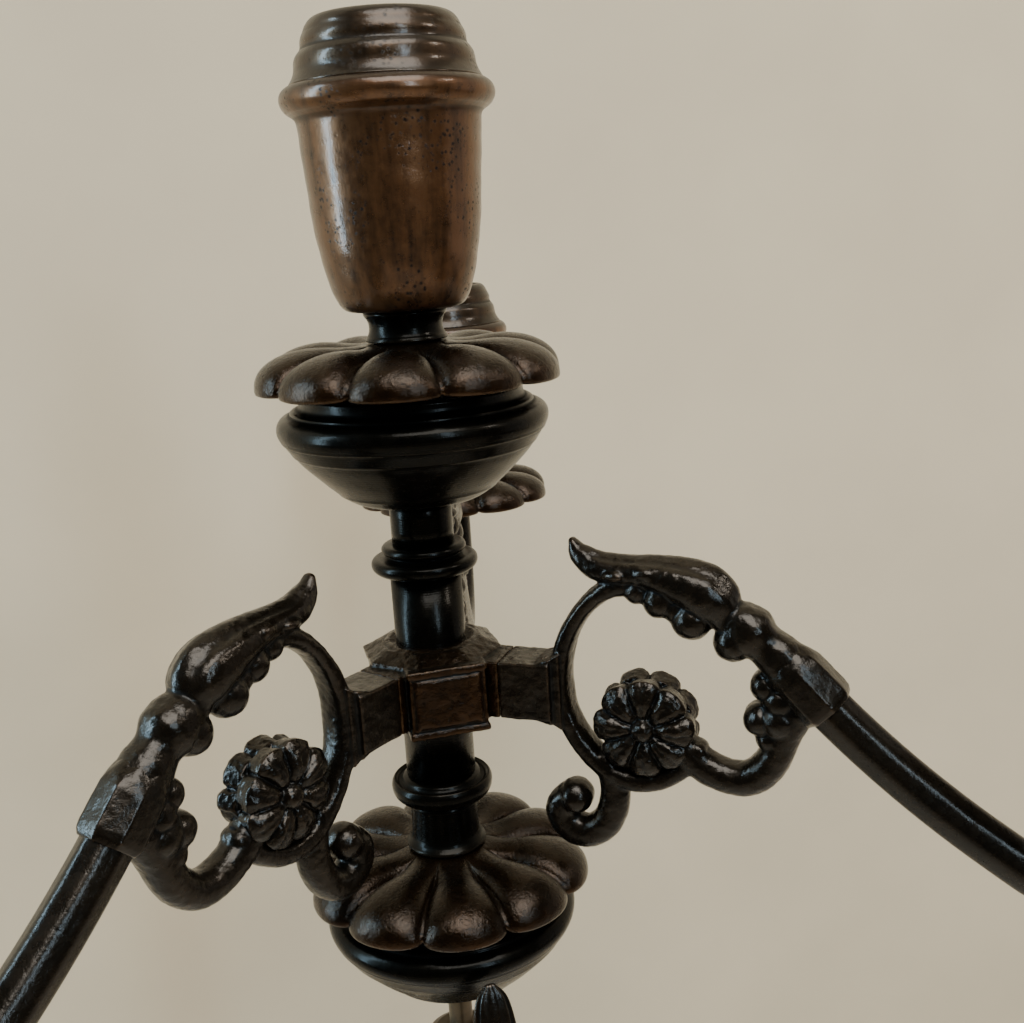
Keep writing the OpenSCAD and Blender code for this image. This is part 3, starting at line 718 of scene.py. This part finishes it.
# ---------------------------------------------------------------- hub
def prism(sides, corner, z0, z1, first=0.0):
    verts, faces = [], []
    for z in (z0, z1):
        for k in range(sides):
            a = math.radians(first) + 2 * math.pi * k / sides
            verts.append((corner * math.cos(a), corner * math.sin(a), z))
    faces.append(tuple(range(sides - 1, -1, -1)))
    faces.append(tuple(range(sides, 2 * sides)))
    for k in range(sides):
        l = (k + 1) % sides
        faces.append((k, l, sides + l, sides + k))
    return verts, faces


def taper(sides, flat0, z0, flat1, z1):
    """A frustum with flat sides, one of them facing straight ahead."""
    k = 1 / math.cos(math.pi / sides)
    lower, faces = prism(sides, flat0 * k, z0, z1, 180 / sides)
    upper, _ = prism(sides, flat1 * k, z0, z1, 180 / sides)
    return lower[:sides] + upper[sides:], faces


def panel_data(out, half_w, z0, z1, proud):
    """A raised panel with sloped borders, facing -Y at the distance out."""
    bev = 1.1
    verts = [(x, -out, z) for x, z in ((-half_w, z0), (half_w, z0), (half_w, z1), (-half_w, z1))]
    verts += [(x, -out - proud, z) for x, z in ((-half_w + bev, z0 + bev), (half_w - bev, z0 + bev),
                                                (half_w - bev, z1 - bev), (-half_w + bev, z1 - bev))]
    verts += [(x, -out + 6, z) for x, _, z in verts[:4]]
    faces = [(4, 5, 6, 7), (0, 1, 5, 4), (1, 2, 6, 5), (2, 3, 7, 6), (3, 0, 4, 7),
             (8, 9, 1, 0), (9, 10, 2, 1), (10, 11, 3, 2), (11, 8, 0, 3), (11, 10, 9, 8)]
    return verts, faces


def hub_data():
    flat = 15.5
    parts = [taper(8, flat - 0.4, -8.4, flat, 6.4), taper(8, flat + 0.6, 6.2, flat + 0.9, 8.2),
             taper(8, flat + 0.9, 8.1, 12.2, 10.3), taper(8, flat + 0.2, -9.4, flat - 0.4, -7.6),
             box_data((-9.4, -flat - 2.2, -8.4), (9.4, -flat + 3, 7.4)),
             panel_data(flat + 2.1, 8.6, -7.2, 6.4, 0.8),
             box_data((-9.9, -flat - 2.6, -9.2), (9.9, -flat + 3, -7.6)),
             box_data((-9.9, -flat - 2.6, 6.6), (9.9, -flat + 3, 8.2))]
    rings = [eased([(8, 9.4, 1), (11.4, 9.6), (11.9, 10.2), (11, 10.9), (9.6, 10.5), (8, 10.4, 1)], 2),
             eased([(8, -8.6, 1), (13.6, -8.8), (14.2, -9.8), (12.8, -10.9), (11, -11.4), (8, -11.4, 1)], 2)]
    parts += [lathe_data(r, 72) for r in rings]
    for turn in ARM_TURNS.values():
        parts.append(moved(box_data((8, -6.3, -7.2), (19.9, 6.3, 7.2)), spun(turn - 90, "Z")))
    return joined(*parts)


hub_mesh = cast("hub", hub_data(), 0.32, easing=3, rough=0.2, grain=0.3)
piece("hub_casting", hub_mesh, CAST, "cluster", column(HUB_Z), ("hub",))


# ---------------------------------------------------------------- scroll arms
RING_ROWS = [[68, -12.8, 2.2, 3.6], [64, -18, 2.5, 3.9], [58, -21.6, 2.7, 4.1], [51.4, -22.4, 2.8, 4.2],
             [45.2, -20, 2.7, 4.2], [39.4, -14.2, 2.6, 4.2], [35.4, -6.5, 2.6, 4.2],
             [34.4, 2, 2.5, 4.2], [35.4, 9.6, 2.4, 4], [38.2, 16.4, 2.2, 3.7], [42.4, 22, 2.2, 3.7],
             [48, 26.2, 2.6, 4.2], [55, 28.2, 3.4, 4.8]]
LEAF_ROWS = [[38.8, 37.0, 1.0, 1.6], [40.6, 34.0, 2.6, 3.0], [44.6, 31.2, 3.4, 4.4],
             [50.6, 30.4, 3.4, 5.2], [57.5, 30.1, 3.8, 6], [63.6, 28.7, 5, 6.8], [69, 26.5, 6.2, 7.2],
             [72.6, 23.7, 6.0, 6.7], [75.1, 20.7, 4.5, 5], [77.7, 18.8, 5.5, 6], [80.7, 16.5, 6.1, 6.4],
             [83.5, 14.2, 4.8, 5.2], [86.4, 11.6, 5.4, 5.7], [88.8, 9.2, 5.8, 6.0]]
ROD_ROWS = [[58, -7, 4, 4], [62.4, -11.4, 4.3, 4.2], [67.2, -16, 4.1, 4.3], [73, -19, 4, 4.4],
            [79.4, -19.4, 4.1, 4.5], [84.6, -15, 4.1, 4.5], [87.6, -8, 4, 4.6], [90.4, -1, 4.6, 4.8]]
CURL_ROWS = [[44.6, -17.8, 3.2, 4], [46.7, -24, 3.6, 4], [46.3, -30.2, 3.8, 4.1], [43.8, -35.4, 4, 4.1],
             [39.3, -38.2, 4.1, 4.1], [34.8, -36.8, 4.3, 4.1], [33, -32.6, 4.4, 4.1], [35.2, -29.4, 4.2, 4.2]]
LOBES = [[54.6, 26.2, 3.4, 1.8], [60.0, 24.0, 4.2, 2], [63.8, 22.2, 3.6, 1.9], [67.3, 19.9, 4.9, 2],
         [76.7, 14.9, 4.8, 1.3], [83.7, 4.4, 3.6, 0.9], [87.0, 1.2, 4.4, 0.9], [82.4, -3.9, 4.0, 0.9],
         [86.9, -3.4, 4.8, 0.9], [84.9, -8.4, 3.7, 0.6], [36.6, -28.8, 4.4, 0.4]]
LEAF_FOLDS = [[47, 31.6, 52, 31.8, 0.9], [54, 32.4, 59, 32.4, 1.1], [61, 32.6, 66, 31.2, 1.2],
              [66.5, 31.4, 71.5, 28.6, 1.2]]


def leafy(t, a):
    """A raised midrib on top of the leaf and a fold on each side of it."""
    c = math.cos(a)
    fade = min(1.0, 6 * t) * max(0.0, min(1.0, (0.62 - t) * 9))
    ridge = 0.10 * math.exp(-((math.sin(a)) / 0.2) ** 2) if c > 0 else 0.0
    fold = 0.09 * math.exp(-((abs(math.sin(a)) - 0.55) / 0.17) ** 2) if c > 0 else 0.0
    return 1 + fade * (ridge - fold)


def flare_data(x0, h0, x1, h1, w):
    """A block that flares from half height h0 at x0 to h1 at x1."""
    verts, faces = box_data((x0, -w, -h0), (x1, w, h0))
    return [(x, y, z if x < x1 else math.copysign(h1, z)) for x, y, z in verts], faces


def scroll_data():
    parts = [box_data((20.1, -6.3, -7.2), (33, 6.3, 7.2)),
             flare_data(29, 7.2, 33, 8.6, 5.6),
             flare_data(31, 7.4, 35.2, 9.8, 4.9),
             sweep_data(RING_ROWS, 5, 24, 2.8),
             sweep_data(LEAF_ROWS, 6, 44, 2.2, leafy),
             sweep_data(ROD_ROWS, 6, 24, 2.2),
             sweep_data(CURL_ROWS, 6, 24, 2.3)]
    for x, z, r, lean in LOBES:
        for s in (-1, 1):
            parts.append(ball_data((x, s * lean, z), (r, r * 1.05, r)))
    for x0, z0, x1, z1, r in LEAF_FOLDS:
        slope = math.atan2(z1 - z0, x1 - x0)
        length = math.hypot(x1 - x0, z1 - z0)
        for s in (-1, 1):
            spin = Matrix.Rotation(s * 0.35, 3, "Z") @ Matrix.Rotation(-slope, 3, "Y")
            parts.append(ball_data((0.5 * (x0 + x1), s * 4.6, 0.5 * (z0 + z1) - 1.6),
                                   (length * 0.62, 1.7, r * 1.5), spin))
    return joined(*parts)


scroll_mesh = cast("scroll", scroll_data(), 0.32, easing=7, rough=0.14, grain=0.3)
wear_of(scroll_mesh, 0.45, 3)
LEAVES = 8


def rosette_data():
    """Eight rounded petals with a groove down each, round a button, on both faces of a disc."""
    n, rings = LEAVES * 22, 16
    parts = []
    for s in (-1, 1):
        verts, faces = [], []
        for j in range(rings + 1):
            q = j / rings
            for k in range(n):
                a = 2 * math.pi * k / n
                u = ((a * LEAVES / (2 * math.pi) + 0.25 * (1 + s)) % 1.0) * 2 - 1
                b = max(0.0, 1 - abs(u) ** 2.4) ** 0.5
                whim = math.sin(5.1 * math.floor(a * LEAVES / (2 * math.pi) + 0.25 * (1 + s)) + s)
                edge = 10.2 + (2.1 + 0.3 * whim) * b
                r = edge * q
                swell = math.sin(math.pi * min(1.0, max(0.0, (q - 0.12) / 0.9))) ** 0.55
                h = 3.6 + swell * (0.9 + 2.5 * b + 0.3 * whim) - 0.5 * math.exp(-(u / 0.22) ** 2) * swell * q
                verts.append((r * math.cos(a), r * math.sin(a), s * h))
        base = len(verts)
        for k in range(n):
            x, y, _ = verts[rings * n + k]
            verts.append((x * 0.93, y * 0.93, 0.0))
        for j in range(rings + 1):
            for k in range(n):
                l = (k + 1) % n
                faces.append((j * n + k, j * n + l, (j + 1) * n + l, (j + 1) * n + k))
        faces.append(tuple(range(base, base + n)))
        faces.append(tuple(range(n)))
        parts.append((verts, faces))
        parts.append(ball_data((0, 0, s * 5.4), (2.8, 2.8, 2.5)))
    return joined(*parts)


rosette_mesh = cast("rosette", rosette_data(), 0.26, easing=4, rough=0.22, grain=0.4)
wear_of(rosette_mesh, 0.5, 3)
ROSETTE_AT = (55.5, -7.5)

SLEEVE_SLOPE = -47.0
SLEEVE_AT = (87.8, 10.3)
SLEEVE_L = 15.0


def sleeve_data():
    """Eight flat sides that start in rounded arches and taper at both ends."""
    stations = [(-3, 4.6), (-1.5, 5.3), (0, 6.0), (1.6, 6.5), (4, 6.75), (8, 6.75), (12, 6.8), (13.6, 6.6),
                (14.8, 5.9)]
    sides = 80
    verts, faces = [], []
    for z, r in stations:
        for k in range(sides):
            a = 2 * math.pi * k / sides
            u = abs(((a * 8 / (2 * math.pi)) % 1.0) * 2 - 1)
            flat = math.cos(math.pi / 8) / math.cos((1 - u) * math.pi / 8)
            corner = r * flat / math.cos(math.pi / 8)
            arch = 0.8 * min(1.0, max(0.0, 1 - z / 5)) * (1 - u) ** 2
            verts.append(((corner - arch) * math.cos(a), (corner - arch) * math.sin(a), z))
    for i in range(len(stations) - 1):
        for k in range(sides):
            l = (k + 1) % sides
            faces.append((i * sides + k, i * sides + l, (i + 1) * sides + l, (i + 1) * sides + k))
    faces.append(tuple(range(sides)))
    faces.append(tuple((len(stations) - 1) * sides + k for k in range(sides)))
    return verts, faces


sleeve_mesh = cast("sleeve", sleeve_data(), 0.3, easing=3, rough=0.07, grain=0.35)
wear_of(sleeve_mesh, 0.4, 3)

ARM_R = 5.5
ARC_A = 240.0
DROP = -34.0
STRAIGHT = 7.0


def bend(p, r, start, stop, n):
    out = []
    for k in range(n + 1):
        a = math.radians(start + (stop - start) * k / n)
        s = math.radians(start)
        out.append((p[0] + r * (math.sin(a) - math.sin(s)), p[1] - r * (math.cos(a) - math.cos(s))))
    return out


def tube_rows():
    c, s = math.cos(math.radians(SLEEVE_SLOPE)), math.sin(math.radians(SLEEVE_SLOPE))
    start = (SLEEVE_AT[0] + (SLEEVE_L - 8) * c, SLEEVE_AT[1] + (SLEEVE_L - 8) * s)
    first = bend(start, ARC_A, SLEEVE_SLOPE, DROP, 10)
    end = first[-1]
    turn = (end[0] + STRAIGHT * math.cos(math.radians(DROP)),
            end[1] + STRAIGHT * math.sin(math.radians(DROP)))
    r = (ARM_REACH - turn[0]) / (1 - math.sin(math.radians(DROP)))
    second = bend(turn, r, DROP, 90, 22)
    line = first + second + [(ARM_REACH, ARM_RISE + PAN_H - 2.9)]
    return [[x, z, ARM_R, ARM_R] for x, z in line]


def fluted(t, a):
    """Eight soft facets at the sleeve that fade towards the upright end."""
    fade = max(0.0, 1 - 1.25 * t)
    return 1 - 0.045 * fade * (0.5 - 0.5 * math.cos(8 * a)) - 0.004


tube_mesh = mesh_of("arm_tube", sweep_data(tube_rows(), 2, 64, 2.0, fluted, ends=0), weld=False)
wear_of(tube_mesh, 0.3)

for side in ARM_TURNS:
    here = arm(side)
    piece(side + "_scroll_casting", scroll_mesh, DARK, "cluster", here, (side + "_scroll",))
    spot = shift(ROSETTE_AT[0], 0, ROSETTE_AT[1]) @ spun(90, "X")
    piece(side + "_rosette_flower", rosette_mesh, DARK, "cluster", here @ spot,
          (side + "_rosette",))
    spot = shift(SLEEVE_AT[0], 0, SLEEVE_AT[1]) @ spun(90 - SLEEVE_SLOPE, "Y")
    piece(side + "_sleeve_cast", sleeve_mesh, DARK, "cluster", here @ spot,
          (side + "_sleeve",))
    piece(side + "_tube_fluted", tube_mesh, DARK, "cluster", here, (side + "_tube",))


# ---------------------------------------------------------------- bracket and wall
LEAF = [[14.6, 0, 4.6, 5], [21, -3.5, 4.4, 5.6], [29, -5.5, 4, 6.4], [37, -2, 3.8, 6.8],
        [42.3, 8, 3.2, 6.9], [44.2, 22, 2.8, 6.7], [43.8, 36, 2.4, 6.2], [42.1, 46.5, 2, 5.2],
        [40.8, 52.5, 1.5, 3.9], [40, 55.2, 0.8, 1.6]]


def ribbed(t, a):
    """Ribs that run up the leaf."""
    return 1 - 0.1 * min(1.0, 3 * t) * (0.5 - 0.5 * math.cos(10 * a))


def ahead(y):
    """A frame whose Z axis points out from the wall, at the distance y from it."""
    return shift(0, -y, 0) @ spun(90, "X")


HEAD = column(HEAD_Z)
leaf_mesh = mesh_of("bracket_leaf", sweep_data(LEAF, 8, 80, 2.3, ribbed, ends=3), weld=False)
piece("bracket_leaf_cast", leaf_mesh, DARK, "bracket",
      HEAD @ spun(-90, "Z"), ("bracket_leaf",))

PIPE_R, BEND_R = 6.5, 55.0
BEND_BACK = REACH - BEND_R
KNOP_L = 34.0
EYE_L = 17.0


def pipe_outline(h):
    return [(PIPE_R - 1.5, 0, 1), (PIPE_R, 0, 1), (PIPE_R, h * 0.5, 1), (PIPE_R, h, 1), (PIPE_R - 1.5, h, 1)]


eye_out = PIN_OUT + EYE_L
turned("bracket_tube", pipe_outline(BEND_BACK - eye_out), 0, DARK, "bracket", ahead(eye_out))
turned("bracket_riser", pipe_outline(HEAD_Z - 20.5 - BEND_R), BEND_R, DARK, "bracket")
bend_rows = [[BEND_BACK + BEND_R * math.sin(math.radians(t)), BEND_R * (1 - math.cos(math.radians(t))),
              PIPE_R, PIPE_R] for t in range(0, 91, 10)]
bend_mesh = mesh_of("bracket_bend", sweep_data(bend_rows, 3, 64, 2.0, ends=0), weld=False)
piece("bracket_bend_pipe", bend_mesh, DARK, "bracket", spun(-90, "Z"), ("bracket_bend",))
knop = [(6.4, 0, 1), (7.6, 0), (8.6, 0.6), (8.5, 2.2), (7.9, 3), (8, 4.6), (9.8, 6), (11.2, 7.2), (11.6, 8.5),
        (11, 9.9), (9.8, 10.6), (9.5, 11.2), (11.2, 12.4), (12.6, 14.6), (13, 17), (12.6, 19.4), (11.2, 21.6),
        (9.5, 22.8), (9.8, 23.4), (11, 24.1), (11.6, 25.5), (11.2, 26.8), (9.8, 28), (8, 29.4), (7.9, 31),
        (8.5, 31.8), (8.6, 33.4), (7.6, 34), (6.4, 34, 1)]
turned("bracket_knop", knop, 0, CAST, "bracket", ahead(BEND_BACK - KNOP_L), rounds=3)
ring = [(6.4, 0, 1), (7.6, 0), (8.8, 0.5), (8.7, 1.8), (8.2, 2.6), (9.8, 3.8), (10.9, 5), (11, 6.5),
        (10.9, 8), (9.8, 9.2), (8.2, 10.4), (8.7, 11.2), (8.8, 12.5), (7.6, 13), (6.4, 13, 1)]
turned("bracket_collar", ring, BEND_R, CAST, "bracket", rounds=3)


def eye_data():
    barrel = eased([(4.06, -8.6, 1), (8.8, -8.6), (10, -7.8), (10, -5), (9.6, -4.4), (9.6, 4.4), (10, 5),
                    (10, 7.8), (8.8, 8.6), (4.06, 8.6, 1)], 2)
    socket = eased([(5, 5, 1), (7.6, 5.4), (7.2, 7.6), (8.4, 8.6), (9, 10.4), (8.5, 12), (7.8, 12.8),
                    (7.9, 15.6), (8.4, 16.4), (8.2, 17), (5, 17, 1)], 2)
    return joined(lathe_data(barrel, 96), moved(lathe_data(socket, 72), spun(90, "X")))


PIN = shift(0, -PIN_OUT, 0)
piece("bracket_eye_cast", mesh_of("bracket_eye", eye_data()), DARK, "bracket", PIN,
      ("bracket_eye",))


def head_data():
    socket = eased([(6.1, -26, 1), (7.8, -26), (8.9, -25.2), (9, -24), (8.5, -22.6), (8.3, -20), (8.2, -17.4),
                    (9.2, -15.4), (10.4, -13), (10.6, -10.6), (11.6, -8.6), (12, -6.6), (12, 6.6),
                    (11.5, 8.2), (10.8, 9.6), (10.4, 11.6), (9.4, 12.9), (6.1, 12.9, 1)], 3)
    boss = eased([(0.01, 9, 1), (6.9, 9, 1), (6.9, 12), (7.3, 13), (6.4, 14.8), (0.01, 14.8, 1)], 2,
                 closed=False)
    return joined(lathe_data(socket, 120), moved(lathe_data(boss, 72), spun(90, "X")))


piece("bracket_head_cast", mesh_of("bracket_head", head_data()), DARK, "bracket", HEAD,
      ("bracket_head",))


def plate_data():
    face = [(0.01, 0, 1), (44.9, 0.05), (44.9, 1.6), (44.2, 3), (42.6, 3.6), (40.6, 3.8), (39.4, 4.4),
            (38.6, 5.4), (36, 6.2), (33.4, 7.2), (31.8, 7.4), (26, 8.3), (23.4, 8.9), (0.01, 9, 1)]
    return lathe_data(eased(face, 3, closed=False), 160)


SCREW_UP = 32.0
piece("wall_plate_turned", mesh_of("wall_plate", plate_data()), DARK, "wall", ahead(0),
      ("wall_plate",))
for side, up in (("top", SCREW_UP), ("bottom", -SCREW_UP)):
    washer = [(2.3, 0.2, 1), (5.2, 0.2), (5, 1.0), (3.6, 1.2), (2.3, 0.9, 1)]
    me = mesh_of("washer_" + side, lathe_data(eased(washer, 2), 48))
    piece("wall_plate_washer_" + side, me, BRASS, "wall", shift(0, -7.2, up) @ spun(90, "X"))


def knuckle_data():
    boss = eased([(0.01, 9, 1), (22, 9, 1), (22.5, 10.6), (21.4, 12.8), (19, 13.8), (17.4, 14.2), (16, 16.9),
                  (0.01, 17, 1)], 2, closed=False)
    parts = [moved(lathe_data(boss, 96), spun(90, "X")),
             box_data((-9, -23, -14), (9, -16, 14))]
    for s in (-1, 1):
        lug = eased([(4, 0, 1), (9.4, 0), (10, 0.7), (10, 4.3), (9.4, 5), (4, 5, 1)], 2)
        parts.append(moved(lathe_data(lug, 96), Matrix.Translation((0, -PIN_OUT, 9 if s > 0 else -14))))
        z = (9.2, 13.8) if s > 0 else (-13.8, -9.2)
        parts.append(box_data((-9.7, -PIN_OUT + 7, z[0]), (9.7, -16, z[1])))
    return joined(*parts)


piece("wall_knuckle_cast", mesh_of("wall_knuckle", knuckle_data(), weld=False), DARK, "wall",
      Matrix.Identity(4), ("wall_knuckle",))
PIN_HALF = 14.0                # from the pin's middle to the finial and the nut
knob = [(4, 0.0, 1), (6.8, 0), (7.4, 0.9), (7, 2.1), (5.6, 2.9), (4.5, 3.6), (4.6, 4.6), (5.9, 5.9),
        (6.6, 7.6), (6.4, 9.4), (5, 11.2), (2.6, 12.4), (1.5, 13.4), (1.3, 14.8), (0.01, 15.6, 1),
        (0.01, 4, 1), (4, 4, 1)]
turned("pin_finial", knob, PIN_HALF, CAST, "wall", PIN, rounds=3)
nut = [(4, 0, 1), (6.8, 0), (7.4, 0.9), (7, 2.4), (6.1, 3.4), (5.8, 5), (4.4, 6.6), (2.2, 7.6), (0.01, 8, 1),
       (0.01, 4, 1), (4, 4, 1)]
turned("pin_nut", nut, PIN_HALF, CAST, "wall", PIN @ spun(180, "X"), rounds=3)

LOOKS = {"old_brass": BRASS, "dark_bronze": DARK, "cast_bronze": CAST, "black_bronze": BLACK,
         "copper_bronze": COPPER, "porcelain": CERAMIC}
slots = {s["node"]: s["material_slot"] for s in frame["record"]["subparts"]}
for node, obj in frame["nodes"].items():
    if obj.hide_render:
        continue
    obj.data.materials.clear()
    obj.data.materials.append(LOOKS[slots[node]])

# ---------------------------------------------------------------- room, light, camera
WALL = plaster("wall_plaster", (0.655, 0.553, 0.388))
FLOOR = plaster("floor_plaster", (0.72, 0.65, 0.55))
ROOM = 6000.0                  # the side of the wall and of the floor
WALL_GAP = 0.2                 # behind the wall plate
WALL_MID, FLOOR_Z = 900.0, -900.0


def sheet(name, at, turn, mat):
    """A square of the room, facing along its own Z axis."""
    half = ROOM * MM / 2
    corners = [(-half, -half, 0), (half, -half, 0), (half, half, 0), (-half, half, 0)]
    me = bpy.data.meshes.new(name)
    me.from_pydata(corners, [], [(0, 1, 2, 3)])
    obj = bpy.data.objects.new(name, me)
    bpy.context.collection.objects.link(obj)
    obj.matrix_world = shift(*at) @ turn
    me.materials.append(mat)


sheet("wall", (0, WALL_GAP, WALL_MID), spun(90, "X"), WALL)
sheet("floor", (0, -ROOM / 2, FLOOR_Z), Matrix.Identity(4), FLOOR)


def area(name, at, aim, size, power, colour):
    """A soft light that the camera doesn't see. Metres and watts."""
    light = bpy.data.lights.new(name, "AREA")
    light.shape = "RECTANGLE"
    light.size, light.size_y = size
    light.energy = power
    light.color = colour
    obj = bpy.data.objects.new(name, light)
    bpy.context.collection.objects.link(obj)
    obj.location = at
    obj.rotation_euler = (Vector(aim) - Vector(at)).to_track_quat("-Z", "Y").to_euler()
    obj.visible_camera = False


centre = (0, -REACH * MM, HUB_Z * MM)
area("window", (-1.5, -0.2, 0.8), centre, (0.22, 1.5), 32, (0.52, 0.78, 1.0))
area("far_wall", (1.9, -0.6, 0.7), centre, (1.4, 1.8), 4, (1.0, 0.93, 0.84))
area("room", (0.5, -2.0, 1.2), centre, (0.2, 1.1), 14, (0.62, 0.82, 1.0))
area("lamp", (1.6, -1.1, 1.7), centre, (0.3, 0.3), 9, (1.0, 0.90, 0.78))
area("ceiling", (0.13, -1.65, 2.95), (0, -0.1, 0.2), (2.2, 1.8), 136, (1.0, 0.965, 0.91))

AMBIENT, BACKDROP = 0.08, 0.85     # the room's glow, and how pale the open side of the room looks
world = bpy.data.worlds.new("room")
world.use_nodes = True
sky = world.node_tree
backdrop = sky.nodes["Background"]
backdrop.inputs[0].default_value = (0.75, 0.72, 0.68, 1)
seen = add(sky, "ShaderNodeLightPath").outputs["Is Camera Ray"]
glow = math_node(sky, "MAXIMUM", math_node(sky, "MULTIPLY", seen, BACKDROP), AMBIENT)
sky.links.new(glow, backdrop.inputs[1])
bpy.context.scene.world = world

CAMERA_TURN = -10.5            # round the column, from straight in front
CAMERA_AWAY = 288.25           # from the column's axis
CAMERA_UP = 111.0              # above the hub
FOCAL_PX, FRAME_PX = 1200.0, 1024
SENSOR = 36.0
PITCH, ROLL, YAW = 13.59, -3.53, 4.46
a = math.radians(CAMERA_TURN)
eye = Vector((CAMERA_AWAY * math.sin(a), -REACH - CAMERA_AWAY * math.cos(a), HUB_Z + CAMERA_UP)) * MM
head = math.radians(YAW) - a
th, rho = math.radians(PITCH), math.radians(ROLL)
fwd = Vector((math.sin(head) * math.cos(th), math.cos(head) * math.cos(th), -math.sin(th)))
right = Vector((math.cos(head), -math.sin(head), 0))
up = right.cross(fwd)
right, up = right * math.cos(rho) + up * math.sin(rho), up * math.cos(rho) - right * math.sin(rho)
cam = bpy.data.cameras.new("camera")
cam.sensor_width = SENSOR
cam.lens = FOCAL_PX / FRAME_PX * SENSOR
cam.clip_start = 0.01
cam_obj = bpy.data.objects.new("camera", cam)
bpy.context.collection.objects.link(cam_obj)
cam_obj.matrix_world = Matrix((
    (right.x, up.x, -fwd.x, eye.x), (right.y, up.y, -fwd.y, eye.y),
    (right.z, up.z, -fwd.z, eye.z), (0, 0, 0, 1)))
bpy.context.scene.camera = cam_obj

bpy.context.view_layer.update()
